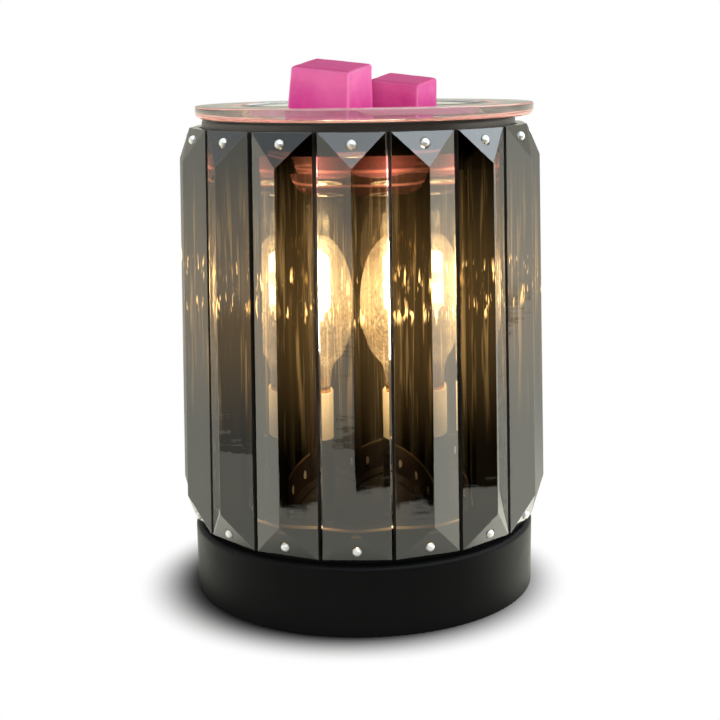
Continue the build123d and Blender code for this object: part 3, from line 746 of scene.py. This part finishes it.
@dataclass
class Cage:
    """The ring of leaning crystal prisms and the pins that hold them. Sizes in millimetres."""

    count: int = 16
    first_degrees: float = -92.3
    foot_level: float = 26.0
    height: float = 129.5
    back_foot: float = 54.3
    back_head: float = 51.2
    seam: float = 0.35
    ridge: float = 7.7
    face_degrees: float = 26.0
    bevel: float = 10.4
    polish: float = 0.16
    hollow: float = 1.0
    land: float = 0.4
    hollow_margin: float = 12.0
    hollow_steps: int = 160
    side_facing: float = 0.9
    crisp_degrees: float = 9.0
    pin_inset: float = 3.4
    pin_sink: float = 0.4
    ball: float = 1.5
    shank: float = 0.7
    shank_hole: float = 1.0
    tail: float = 1.5
    tail_thickness: float = 0.7
    rest_gap: float = 0.1
    ring_foot: float = 53.0
    ring_head: float = 49.9

    def __post_init__(self) -> None:
        """Works out the slopes that the prisms and the pins share."""
        half_pitch = pi / self.count
        self.lean = atan((self.back_foot - self.back_head) / self.height)
        self.length = self.height / cos(self.lean)
        self.width_foot = 2 * self.back_foot * tan(half_pitch) - self.seam
        self.width_head = 2 * self.back_head * tan(half_pitch) - self.seam
        self.slope = tan(radians(self.face_degrees))
        self.edge_foot = self.ridge - self.width_foot / 2 * self.slope
        self.edge_head = self.ridge - self.width_head / 2 * self.slope
        self.pin_head = self.foot_level + self.height - self.pin_inset
        self.pin_foot = self.foot_level + self.pin_inset
        chord = self.width_head / 2 - self.land
        self.hollow_radius = (chord**2 + self.hollow**2) / (2 * self.hollow)

    def ball_radius(self, level: float, edge: float) -> float:
        """Radius at which a pin's ball is centred, a little under the bevel."""
        back = self.back_foot - (level - self.foot_level) * tan(self.lean)
        return back + edge + (self.ridge - edge) * self.pin_inset / self.bevel - self.pin_sink

    def cut_block(self) -> Shape:
        """Cuts one prism from a block by planes, as a glass cutter does, and polishes its edges."""
        shape = bmesh.new()
        middle = Matrix.Translation((self.ridge / 2, 0, self.length / 2))
        add_block(shape, (self.ridge, self.width_foot, self.length), middle)
        narrowing = (self.width_foot - self.width_head) / 2 / self.length
        foot_slope = (self.ridge - self.edge_foot) / self.bevel
        head_slope = (self.ridge - self.edge_head) / self.bevel
        cuts = (
            ((self.ridge, 0, 0), (1, self.slope, 0)),
            ((self.ridge, 0, 0), (1, -self.slope, 0)),
            ((0, self.width_foot / 2, 0), (0, 1, narrowing)),
            ((0, -self.width_foot / 2, 0), (0, -1, narrowing)),
            ((self.edge_foot, 0, 0), (1, 0, -foot_slope)),
            ((self.edge_head, 0, self.length), (1, 0, head_slope)),
        )
        for place, normal in cuts:
            bmesh.ops.bisect_plane(
                shape, geom=shape.verts[:] + shape.edges[:] + shape.faces[:], dist=1e-5,
                plane_co=place, plane_no=Vector(normal).normalized(), clear_outer=True,
            )
            open_edges = [edge for edge in shape.edges if edge.is_boundary]
            bmesh.ops.holes_fill(shape, edges=open_edges, sides=0)
        bmesh.ops.remove_doubles(shape, verts=shape.verts[:], dist=1e-3)
        bmesh.ops.recalc_face_normals(shape, faces=shape.faces[:])
        shape.normal_update()
        for face in shape.faces:
            face.material_index = int(abs(face.normal.y) > self.side_facing)
        rounded(shape, shape.edges[:], self.polish, 2)
        bmesh.ops.recalc_face_normals(shape, faces=shape.faces[:])
        return shape

    def prism(self) -> Shape:
        """Hollows the back of one prism, leans it in its place on the +X side and drills it, in metres."""
        grindstone = bmesh.new()
        middle = Matrix.Translation((self.hollow - self.hollow_radius, 0, self.length / 2))
        reach = self.length - 2 * self.hollow_margin
        add_rod(grindstone, self.hollow_radius, reach, middle, self.hollow_steps)
        shape = carved(self.cut_block(), grindstone)
        lean = Matrix.Rotation(-self.lean, 4, "Y")
        stand = Matrix.Translation((self.back_foot, 0, self.foot_level)) @ lean
        bmesh.ops.transform(shape, matrix=stand, verts=shape.verts)
        for level, edge in ((self.pin_head, self.edge_head), (self.pin_foot, self.edge_foot)):
            floor = self.ball_radius(level, edge) - self.ball - self.rest_gap
            for radius, start in ((self.ball + self.rest_gap, floor), (self.shank_hole, 0.0)):
                drill = bmesh.new()
                self.add_level_rod(drill, radius, start, self.back_foot + 2 * self.ridge, level)
                shape = carved(shape, drill)
        bmesh.ops.scale(shape, vec=(MM, MM, MM), verts=shape.verts)
        return shape

    def add_level_rod(
        self, shape: Shape, radius: float, start: float, end: float, level: float, segments: int = 32,
    ) -> None:
        """Adds a level round rod on the +X side, from one radius of the cage to another."""
        place = Matrix.Translation(((start + end) / 2, 0, level)) @ Matrix.Rotation(pi / 2, 4, "Y")
        add_rod(shape, radius, end - start, place, segments)

    def pins(self, level: float, ring_inside: float, edge: float) -> Shape:
        """Makes the sixteen ball headed pins of one end.

        Args:
            level: height of the pins.
            ring_inside: inner radius of the ring that the tails lie behind.
            edge: thickness of the crystals' end.

        Returns:
            The pins in their places, in metres.
        """
        centre = self.ball_radius(level, edge)
        tail_face = ring_inside - self.rest_gap
        shape = bmesh.new()
        self.add_level_rod(shape, self.shank, tail_face, centre - self.ball / 2, level)
        head = Matrix.Translation((centre, 0, level)) @ Matrix.Rotation(pi / 2, 4, "Y")
        bmesh.ops.create_uvsphere(shape, u_segments=24, v_segments=14, radius=self.ball, matrix=head)
        self.add_level_rod(shape, self.tail, tail_face - self.tail_thickness, tail_face, level, 24)
        for number, corners in enumerate(repeated(shape, self.count)):
            turn = Matrix.Rotation(2 * pi * number / self.count, 3, "Z")
            bmesh.ops.rotate(shape, verts=corners, cent=(0, 0, 0), matrix=turn)
        place = Matrix.Scale(MM, 4) @ Matrix.Rotation(radians(self.first_degrees), 4, "Z")
        bmesh.ops.transform(shape, matrix=place, verts=shape.verts)
        bmesh.ops.recalc_face_normals(shape, faces=shape.faces[:])
        return shape

    def build(self) -> None:
        """Places the prisms and the pins."""
        pattern = self.prism()
        for number in range(self.count):
            shape = pattern.copy()
            turn = Matrix.Rotation(radians(self.first_degrees + 360 / self.count * number), 3, "Z")
            bmesh.ops.rotate(shape, verts=shape.verts, cent=(0, 0, 0), matrix=turn)
            node = f"crystal_{number + 1:02d}"
            finish_piece(
                shape, f"{node}_cut", SMOKE_CRYSTAL, Body.BASE, [node], self.crisp_degrees,
                SEAM_SHADE_SIDE,
            )
        pattern.free()
        upper = self.pins(self.pin_head, self.ring_head, self.edge_head)
        finish_piece(upper, "upper_ball_pins", CHROME, Body.BASE, ["upper_pins"])
        lower = self.pins(self.pin_foot, self.ring_foot, self.edge_foot)
        finish_piece(lower, "lower_ball_pins", CHROME, Body.BASE, ["lower_pins"])


@dataclass
class Dish:
    """The pressed glass dish with its flat flange, a little off centre. Sizes in millimetres."""

    shift: float = 1.9
    seat: float = 158.2
    top: float = 162.3
    flange: float = 54.9
    bowl: float = 45.8
    foot: float = 40.8
    depth: float = 27.3
    floor: float = 4.9
    wall: float = 4.6
    steps: int = 160

    def build(self) -> None:
        """Turns the dish's section once round and sets it on its ring."""
        bottom = self.top - self.depth
        profile = (
            (0, bottom),
            (self.foot, bottom),
            (self.bowl, self.seat),
            (self.flange, self.seat),
            (self.flange, self.top),
            (self.bowl - self.wall, self.top),
            (self.foot - self.wall, bottom + self.floor),
            (0, bottom + self.floor),
        )
        rounds = {1: 9.0, 2: 0.3, 3: 2.2, 4: 0.6, 5: 1.2, 6: 6.0}
        shape = spun(profile, rounds, self.steps, closed=False)
        bmesh.ops.translate(shape, vec=(self.shift * MM, 0, 0), verts=shape.verts)
        finish_piece(shape, "pressed_dish", DISH_GLASS, Body.DISH, ["glass_dish"], 50.0)


@dataclass
class Band:
    """A band turned round the upright axis, with some corners rounded. Sizes in millimetres."""

    name: str
    finish: Finish
    slot: Slot
    inside: float
    outside: float
    foot: float
    head: float
    rounds: dict[int, float]
    steps: int

    def build(self) -> None:
        """Turns the band's section once round."""
        profile = (
            (self.inside, self.foot),
            (self.outside, self.foot),
            (self.outside, self.head),
            (self.inside, self.head),
        )
        shape = spun(profile, self.rounds, self.steps)
        finish_piece(shape, self.name, self.finish, Body.BASE)


@dataclass
class CoverRibs:
    """Moulded ribs under the base cover: two rings and spokes between them. Sizes in millimetres."""

    rings: Point = (16.0, 33.0)
    width: float = 1.2
    seat: float = 2.0
    height: float = 0.6
    spokes: int = 12
    spoke_round: float = 0.25
    ring_round: float = 0.3
    steps: int = 96

    def build(self) -> None:
        """Sets the spokes and turns the rings at their ends."""
        low = self.seat - self.height
        first, last = self.rings
        shape = bmesh.new()
        for number in range(self.spokes):
            turn = Matrix.Rotation(2 * pi * number / self.spokes, 4, "Z")
            place = turn @ Matrix.Translation(((first + last) / 2, 0, (low + self.seat) / 2))
            corners = add_block(shape, (last - first - self.width, self.width, self.height), place)
            edges = {edge for corner in corners for edge in corner.link_edges}
            rounded(shape, list(edges), self.spoke_round, 2)
        bmesh.ops.scale(shape, vec=(MM, MM, MM), verts=shape.verts)
        finish_piece(shape, "cover_spokes", PHENOLIC, Body.BASE)
        for radius in self.rings:
            Band(
                f"cover_rib_{radius:.0f}", PHENOLIC, Slot.PHENOLIC, radius - self.width / 2,
                radius + self.width / 2, low, self.seat, dict.fromkeys((0, 1), self.ring_round), self.steps,
            ).build()


@dataclass
class Capsule:
    """The quartz capsule inside the globe, which holds the filament. Sizes in millimetres."""

    foot: float = 90.5
    neck: float = 93.0
    shoulder: float = 95.0
    crown: float = 112.6
    nib: float = 114.4
    radius: float = 6.2
    pinch: float = 1.6
    nib_radius: float = 0.9
    nib_rise: float = 0.5
    steps: int = 48

    def build(self) -> None:
        """Turns the capsule's section once round."""
        profile = (
            (0, self.foot),
            (self.pinch, self.foot),
            (self.pinch, self.neck),
            (self.radius, self.shoulder),
            (self.radius, self.crown),
            (self.nib_radius, self.crown + self.nib_rise),
            (self.nib_radius, self.nib),
            (0, self.nib),
        )
        shape = spun(profile, {1: 0.5, 3: 1.6, 4: 2.6, 6: 0.6}, self.steps, closed=False)
        finish_piece(shape, "quartz_capsule", CAPSULE_GLASS, Body.BULB)


@dataclass
class ScrewCap:
    """The lamp's brass screw cap with its rolled thread. Sizes in millimetres."""

    foot: float = 53.95
    head: float = 68.95
    radius: float = 5.9
    root: float = 5.4
    inside: float = 5.0
    lip: float = 2.4
    wall: float = 0.4
    pitch: float = 2.54
    turns: int = 4
    thread_foot: float = 55.6
    thread_round: float = 0.5
    runout: float = 1.3
    steps: int = 64

    def build(self) -> None:
        """Turns the cap's section, in which each thread is a round crest between two roots."""
        roots = [self.thread_foot + self.pitch * turn for turn in range(self.turns)]
        thread = [
            point for level in roots for point in ((self.root, level), (self.radius, level + self.pitch / 2))
        ]
        profile = (
            (self.lip, self.foot),
            (self.root, self.foot),
            *thread,
            (self.root, roots[-1] + self.pitch),
            (self.radius, roots[-1] + self.runout * self.pitch),
            (self.radius, self.head),
            (self.inside, self.head),
            (self.inside, self.foot + self.wall),
            (self.lip, self.foot + self.wall),
        )
        rounds = {number: self.thread_round for number in range(3, 2 + len(thread))}
        shape = spun(profile, rounds, self.steps)
        finish_piece(shape, "rolled_screw_cap", BRASS, Body.BULB, ["bulb_cap"])


@dataclass
class CoverScrews:
    """The three pan head screws under the base, with cross recesses. Sizes in millimetres."""

    circle: float = 46.0
    count: int = 3
    first_degrees: float = 30.0
    cross_turn: float = 1.9
    seat: float = 2.0
    head: float = 2.7
    head_height: float = 1.3
    shank: float = 1.5
    length: float = 9.0
    slot_width: float = 0.7
    slot_length: float = 3.0
    slot_depth: float = 0.8
    steps: int = 40

    def screw(self) -> Shape:
        """Turns one screw and cuts its cross, at the origin and in metres."""
        under = self.seat - self.head_height
        profile = (
            (0, under),
            (self.head, under),
            (self.head, self.seat),
            (self.shank, self.seat),
            (self.shank, self.seat + self.length),
            (0, self.seat + self.length),
        )
        shape = spun(profile, {1: 0.9, 4: 0.4}, self.steps, closed=False)
        place = Matrix.Scale(MM, 4) @ Matrix.Translation((0, 0, under))
        for across, along in ((self.slot_length, self.slot_width), (self.slot_width, self.slot_length)):
            slot = bmesh.new()
            add_block(slot, (across, along, 2 * self.slot_depth), place)
            shape = carved(shape, slot)
        return shape

    def build(self) -> None:
        """Places the screws on their circle, each with its cross turned another way."""
        shape = self.screw()
        for number, corners in enumerate(repeated(shape, self.count)):
            azimuth = radians(self.first_degrees) + 2 * pi * number / self.count
            place = Matrix.Translation((self.circle * MM * cos(azimuth), self.circle * MM * sin(azimuth), 0))
            turn = Matrix.Rotation(self.cross_turn * number, 4, "Z")
            bmesh.ops.transform(shape, matrix=place @ turn, verts=corners)
        finish_piece(shape, "cross_head_screws", ZINC, Body.BASE, ["cover_screws"])


@dataclass
class WaxMelt:
    """One wax melt from a clamshell mould: a tapered cube with soft edges. Sizes in millimetres."""

    name: str
    node: str
    body: Body
    size: float
    height: float
    across: float
    back: float
    turn_degrees: float
    level: float = 155.0
    tilt_degrees: float = 9.0
    roll_degrees: float = 3.0
    taper_degrees: float = 3.0
    edge: float = 1.1
    cuts: int = 7
    lump: float = 5.0
    lump_depth: float = 0.22
    pale_band: float = 0.12
    pale_share: float = 0.6
    crisp_degrees: float = 60.0

    def block(self) -> Shape:
        """Makes the tapered block with round edges and lumpy faces, standing upright at the origin."""
        shape = bmesh.new()
        add_block(shape, (self.size, self.size, self.height), Matrix.Translation((0, 0, self.height / 2)))
        top = [vert for vert in shape.verts if vert.co.z > self.height / 2]
        bmesh.ops.scale(shape, vec=(self.share(self.height), self.share(self.height), 1), verts=top)
        rounded(shape, shape.edges[:], self.edge, 3)
        bmesh.ops.subdivide_edges(shape, edges=shape.edges[:], cuts=self.cuts, use_grid_fill=True)
        bmesh.ops.recalc_face_normals(shape, faces=shape.faces[:])
        shape.normal_update()
        edges = shape.verts.layers.float.new(EDGE_LAYER)
        # Painted shade on the top: upward faces get a deeper tone
        crown = shape.verts.layers.float.new(TOP_SHADE_LAYER)
        for vert in shape.verts:
            vert[edges] = self.edge_nearness(vert.co)
            vert[crown] = max(vert.normal.z - vert[edges] / 2, 0.0)
            hollow = abs(noise.noise(vert.co / self.lump + Vector((self.size, self.height, 0))))
            vert.co -= vert.normal * hollow * self.lump_depth
        return shape

    def share(self, level: float) -> float:
        """Width of the tapered block at a height, as a share of its foot's."""
        return 1 - 2 * level * tan(radians(self.taper_degrees)) / self.size

    def edge_nearness(self, place: Vector) -> float:
        """How near a point of the block is to one of its edges, from 0 to the pale share."""
        half = self.size / 2 * self.share(place.z)
        reaches = sorted((abs(place.x) / half, abs(place.y) / half, abs(2 * place.z / self.height - 1)))
        rise = min(max((reaches[1] - 1 + self.pale_band) / self.pale_band, 0.0), 1.0)
        return self.pale_share * rise * rise

    def build(self) -> None:
        """Stands the melt on the wax, leaning forward and aside."""
        shape = self.block()
        aside = sin(radians(self.roll_degrees))
        forward = sin(radians(self.tilt_degrees))
        lean = Vector((aside, -forward, sqrt(1 - aside**2 - forward**2)))
        along = Vector((cos(radians(self.turn_degrees)), sin(radians(self.turn_degrees)), 0))
        along = (along - lean * along.dot(lean)).normalized()
        turn = Matrix((along, lean.cross(along), lean)).transposed().to_4x4()
        place = Matrix.Translation((self.across, self.back, self.level - self.size / 2 * forward))
        bmesh.ops.transform(shape, matrix=Matrix.Scale(MM, 4) @ place @ turn, verts=shape.verts)
        finish_piece(shape, self.name, CUBE_WAX, self.body, [self.node], self.crisp_degrees)


@dataclass
class Studio:
    """Floor, background and soft lamps of the studio. Sizes in metres, levels where 1 is white."""

    floor_half: float = 30.0
    # Dark grey paper round the warmer, which takes the real shadow and darkens it: painted shadow
    shadow_paper_tone: str = "#4A4A49"
    shadow_reach: Point = (0.0531, 0.0749)
    shadow_shift: float = -0.004
    paper_edge: tuple[Point, ...] = (
        (-0.6, -0.45), (-0.34, -0.3), (-0.24, -0.215), (-0.1, -0.2), (-0.02, -0.21),
        (0.06, -0.205), (0.15, -0.19), (0.2, -0.12), (0.6, -0.1),
    )
    paper_span: Point = (0.6, 0.5)
    paper_blur: float = 0.01
    paper_tear: float = 0.1
    paper_tear_size: float = 0.02
    far_reach: Point = (0.7, 1.0)
    beyond: float = 0.4
    dark_degrees: float = 18.0
    dark_facing: Point = (0.45, 0.78)
    dark_level: float = 0.02
    flank_facing: Point = (0.8, 0.97)
    flank_boost: Point = (1.4, 2.0)
    back_facing: Point = (0.2, 0.7)
    back_level: float = 0.6
    sky_facing: Point = (0.34, 0.5)
    ceiling_across: Point = (-0.6, 0.5)
    ceiling_levels: Point = (0.9, 4.4)
    window_across: Point = (0.26, 0.42)
    window_levels: Point = (1.0, 0.05)
    backdrop_facing: Point = (-0.1, 0.3)
    backdrop_level: float = 0.04
    fill: float = 0.45
    mirror_tone: str = "#F6F5E6"
    sky_tone: str = "#E2ECF2"

    def floor(self) -> None:
        """Lays the floor's paper."""
        shape = bmesh.new()
        bmesh.ops.create_grid(shape, x_segments=2, y_segments=2, size=self.floor_half)
        mesh = bpy.data.meshes.new("studio_floor")
        shape.to_mesh(mesh)
        shape.free()
        material = bpy.data.materials.new("white_floor_paper")
        material.use_nodes = True
        material.node_tree.nodes.clear()
        self.dress_floor(material.node_tree)
        mesh.materials.append(material)
        floor = bpy.data.objects.new("studio_floor", mesh)
        bpy.context.scene.collection.objects.link(floor)

    def dress_floor(self, tree: Tree) -> None:
        """Builds the floor: white beyond a ring round the warmer, and inside it dark grey paper that takes
        the real shadow and darkens it as painted shadow; from below it is clear.
        """
        place = add_node(tree, "TexCoord").outputs["Object"]
        shift = (self.shadow_shift, 0.0, 0.0)
        distance = add_node(tree, "VectorMath", (place, shift), operation="DISTANCE").outputs["Value"]
        # Painted shadow ring: dark paper near the warmer, white emission further out
        clear = add_node(tree, "MapRange", (distance, *self.shadow_reach), **SMOOTH)
        path = add_node(tree, "LightPath").outputs
        direct = (path["Is Camera Ray"], path["Is Transmission Ray"])
        straight = add_node(tree, "Math", direct, operation="MAXIMUM")
        mirrored = add_node(tree, "Math", (path["Is Glossy Ray"], straight), operation="GREATER_THAN")
        mirror_level = self.mirror_level(tree, place, distance)
        level = add_node(tree, "Mix", {0: mirrored, NUMBER_A: 1.0, NUMBER_B: mirror_level})
        seen = add_node(tree, "Math", (straight, mirrored), operation="MAXIMUM")
        share = add_node(tree, "Math", (seen, clear), operation="MULTIPLY")
        tones = {COLOUR_A: linear(WHITE), COLOUR_B: linear(self.mirror_tone)}
        tone = add_node(tree, "Mix", {0: mirrored, **tones}, data_type="RGBA").outputs[MIXED_COLOUR]
        paper = add_node(tree, "BsdfDiffuse", {"Color": linear(self.shadow_paper_tone)})
        white = add_node(tree, "Emission", {"Color": tone, "Strength": level})
        surface = add_node(tree, "MixShader", (share, paper, white))
        below = add_node(tree, "NewGeometry").outputs["Backfacing"]
        sheet = add_node(tree, "MixShader", (below, surface, add_node(tree, "BsdfTransparent")))
        add_node(tree, "OutputMaterial", {"Surface": sheet})

    def mirror_level(self, tree: Tree, place: Socket, distance: Socket) -> Node:
        """Adds how bright the floor is in mirrors: paper up to a torn edge, and a dark room beyond it.

        Args:
            tree: the node tree of the floor.
            place: Object coordinates.
            distance: how far a point of the floor is from the warmer.

        Returns:
            The node that gives the level.
        """
        scale = 1.0 / self.paper_tear_size
        tear = add_node(tree, "TexNoise", {"Vector": place, "Scale": scale, "Detail": 3.0, "Roughness": 0.6})
        behind = self.behind_edge(tree, place)
        torn = add_node(tree, "Math", (tear, self.paper_tear, behind), operation="MULTIPLY_ADD")
        middle, blur = self.paper_tear / 2, self.paper_blur
        paper = add_node(tree, "MapRange", (torn, middle - blur, middle + blur), **SMOOTH)
        bearing = add_node(tree, "VectorMath", (place,), operation="NORMALIZE").outputs["Vector"]
        front = self.frontness(tree, bearing)
        aside = add_node(tree, "MapRange", (front, *self.dark_facing, 1.0, 0.0), **SMOOTH)
        far = add_node(tree, "MapRange", (distance, *self.far_reach, self.beyond), **SMOOTH)
        distant = add_node(tree, "Math", (aside, far), operation="MULTIPLY")
        level = add_node(tree, "Math", (paper, distant), operation="MAXIMUM")
        return add_node(tree, "Math", (level, self.flank_level(tree, bearing)), operation="MULTIPLY")

    def behind_edge(self, tree: Tree, place: Socket) -> Node:
        """Adds how far a point of the floor lies behind the paper's uneven front edge, in metres."""
        across, depth = self.paper_span
        split = add_node(tree, "SeparateXYZ", (place,)).outputs
        share = add_node(tree, "MapRange", (split["X"], -across, across))
        curve = add_node(tree, "FloatCurve", {"Value": share})
        line = curve.mapping.curves[0]
        spots = [((x + across) / (2 * across), y / depth + 1.0) for x, y in self.paper_edge]
        line.points[0].location = spots[0]
        line.points[len(line.points) - 1].location = spots[-1]
        for spot in spots[1:-1]:
            line.points.new(*spot)
        for point in line.points:
            point.handle_type = "VECTOR"
        curve.mapping.update()
        edge = add_node(tree, "MapRange", (curve, 0.0, 1.0, -depth, 0.0))
        return add_node(tree, "Math", (split["Y"], edge), operation="SUBTRACT")

    def frontness(self, tree: Tree, bearing: Socket) -> Socket:
        """Adds how squarely a bearing points at the dark room in front, from -1 to 1."""
        turn = radians(self.dark_degrees)
        front = (sin(turn), -cos(turn), 0.0)
        return add_node(tree, "VectorMath", (bearing, front), operation="DOT_PRODUCT").outputs["Value"]

    def flank_level(self, tree: Tree, bearing: Socket) -> Node:
        """Adds how bright the room is in mirrors by bearing: 1, and more straight to the left and right."""
        across = add_node(tree, "SeparateXYZ", (bearing,)).outputs["X"]
        start, end = self.flank_facing
        sides = [
            add_node(tree, "MapRange", (across, side * start, side * end, 1.0, boost), **SMOOTH)
            for side, boost in zip((-1.0, 1.0), self.flank_boost)
        ]
        return add_node(tree, "Math", sides, operation="MAXIMUM")

    def world(self) -> None:
        """Sets a white background, with a dark room in front and a pale sky above for reflections."""
        world = bpy.data.worlds.new("studio_white")
        bpy.context.scene.world = world
        world.use_nodes = True
        tree = world.node_tree
        tree.nodes.clear()
        bearing = add_node(tree, "TexCoord").outputs["Generated"]
        across, back, up = add_node(tree, "SeparateXYZ", (bearing,)).outputs
        sides = self.flank_level(tree, bearing)
        front = self.frontness(tree, bearing)
        room = add_node(tree, "MapRange", (front, *self.dark_facing, sides, self.dark_level), **SMOOTH)
        behind = add_node(tree, "MapRange", (back, *self.back_facing, room, self.back_level), **SMOOTH)
        sky = add_node(tree, "MapRange", (up, *self.sky_facing), **SMOOTH)
        ceiling = add_node(tree, "MapRange", (across, *self.ceiling_across, *self.ceiling_levels))
        around = add_node(tree, "Mix", {0: sky, NUMBER_A: behind, NUMBER_B: ceiling})
        aside = add_node(tree, "Math", (across,), operation="ABSOLUTE")
        window = add_node(tree, "MapRange", (aside, *self.window_across, *self.window_levels), **SMOOTH)
        levels = (self.backdrop_level, window)
        backdrop = add_node(tree, "MapRange", (back, *self.backdrop_facing, *levels), **SMOOTH)
        path = add_node(tree, "LightPath").outputs
        level: Any = self.fill
        for ray, seen in (("Glossy", around), ("Transmission", backdrop), ("Camera", 1.0)):
            level = add_node(tree, "Mix", {0: path[f"Is {ray} Ray"], NUMBER_A: level, NUMBER_B: seen})
        tone: Any = linear(self.mirror_tone)
        for share, colour in ((sky, self.sky_tone), (path["Is Camera Ray"], WHITE)):
            tones = {COLOUR_A: tone, COLOUR_B: linear(colour)}
            tone = add_node(tree, "Mix", {0: share, **tones}, data_type="RGBA").outputs[MIXED_COLOUR]
        background = add_node(tree, "Background", {"Color": tone, "Strength": level})
        add_node(tree, "OutputWorld", {"Surface": background})

    def lamp(self, name: str, place: Triple, aim: Triple, size: Point, radiance: float) -> None:
        """Hangs one soft box, which lights but isn't mirrored.

        Args:
            name: the lamp's name.
            place: its middle.
            aim: the point that it faces.
            size: its width and height.
            radiance: how bright its face is, where 1 is white.
        """
        light = bpy.data.lights.new(name, "AREA")
        light.shape = "RECTANGLE"
        light.size, light.size_y = size
        light.energy = radiance * pi * size[0] * size[1]
        lamp = bpy.data.objects.new(name, light)
        lamp.location = place
        lamp.rotation_euler = (Vector(aim) - Vector(place)).to_track_quat("-Z", "Y").to_euler()
        lamp.visible_camera = False
        lamp.visible_glossy = False
        lamp.visible_transmission = False
        bpy.context.scene.collection.objects.link(lamp)

    def build(self) -> None:
        """Sets up floor, background and lamps."""
        self.floor()
        self.world()
        self.lamp("left_soft_box", (-0.75, -0.35, 0.28), (0, 0, 0.09), (0.55, 0.75), 2.2)
        self.lamp("right_soft_box", (0.8, 0.05, 0.35), (0, 0, 0.14), (0.45, 0.7), 5.0)
        self.lamp("front_panel", (0.05, -0.75, 0.3), (0, 0, 0.15), (0.8, 0.3), 3.2)
        self.lamp("top_panel", (0, 0.15, 0.95), (0, 0, 0.1), (0.8, 0.6), 0.3)


@dataclass
class ViewPoint:
    """The photograph's camera. Sizes in metres and degrees."""

    place: Triple = (-0.0006, -0.4654, 0.1749)
    pitch_degrees: float = 11.9
    roll_degrees: float = -0.83
    lens_mm: float = 70.3
    sensor_mm: float = 36.0
    clip: Point = (0.01, 100.0)

    def build(self) -> None:
        """Places the camera and makes it the scene's own."""
        camera = bpy.data.cameras.new("photo_camera")
        camera.lens = self.lens_mm
        camera.sensor_width = self.sensor_mm
        camera.clip_start, camera.clip_end = self.clip
        eye = bpy.data.objects.new("photo_camera", camera)
        turn = Matrix.Rotation(radians(90 - self.pitch_degrees), 4, "X")
        roll = Matrix.Rotation(radians(self.roll_degrees), 4, "Z")
        eye.matrix_world = Matrix.Translation(self.place) @ turn @ roll
        bpy.context.scene.collection.objects.link(eye)
        bpy.context.scene.camera = eye


# What the warmer is dressed with, in the order in which it is built
PIECES = (
    Cage(),
    Dish(),
    Band("holder_collar", PHENOLIC, Slot.PHENOLIC, 7.85, 8.6, 46.1, 51.0, {1: 0.2, 2: 0.5}, 72),
    Band("lower_ring_lip", GLOW_PAINTED_LIP, Slot.ENAMEL, 53.05, 53.95, 35.02, 35.6, {2: 0.2, 3: 0.2}, 160),
    CoverRibs(),
    Capsule(),
    ScrewCap(),
    CoverScrews(),
    WaxMelt("left_melt", "wax_cube_left", Body.LEFT_CUBE, 22.3, 21.8, -9.3, -5.0, -22.5),
    WaxMelt("right_melt", "wax_cube_right", Body.RIGHT_CUBE, 19.5, 16.7, 14.3, 14.0, -24.0),
)


def dress_nodes(frame: dict[str, Any]) -> None:
    """Gives every CAD node that stays in view its own finish or that of its slot.
    """
    slots = {part["node"]: Slot(part["material_slot"]) for part in frame["record"]["subparts"]}
    for name, node in frame["nodes"].items():
        finish = NODE_FINISHES.get(name, SLOT_FINISHES[slots[name]])
        node.data.materials.clear()
        node.data.materials.append(finish.material())


def main() -> None:
    """Builds the warmer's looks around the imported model."""
    logging.basicConfig(level=logging.INFO, format="%(message)s")
    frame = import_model()
    bpy.context.scene.view_settings.view_transform = "Standard"
    dress_nodes(frame)
    Studio().build()
    ViewPoint().build()
    for piece in PIECES:
        piece.build()


if __name__ == "__main__":
    main()
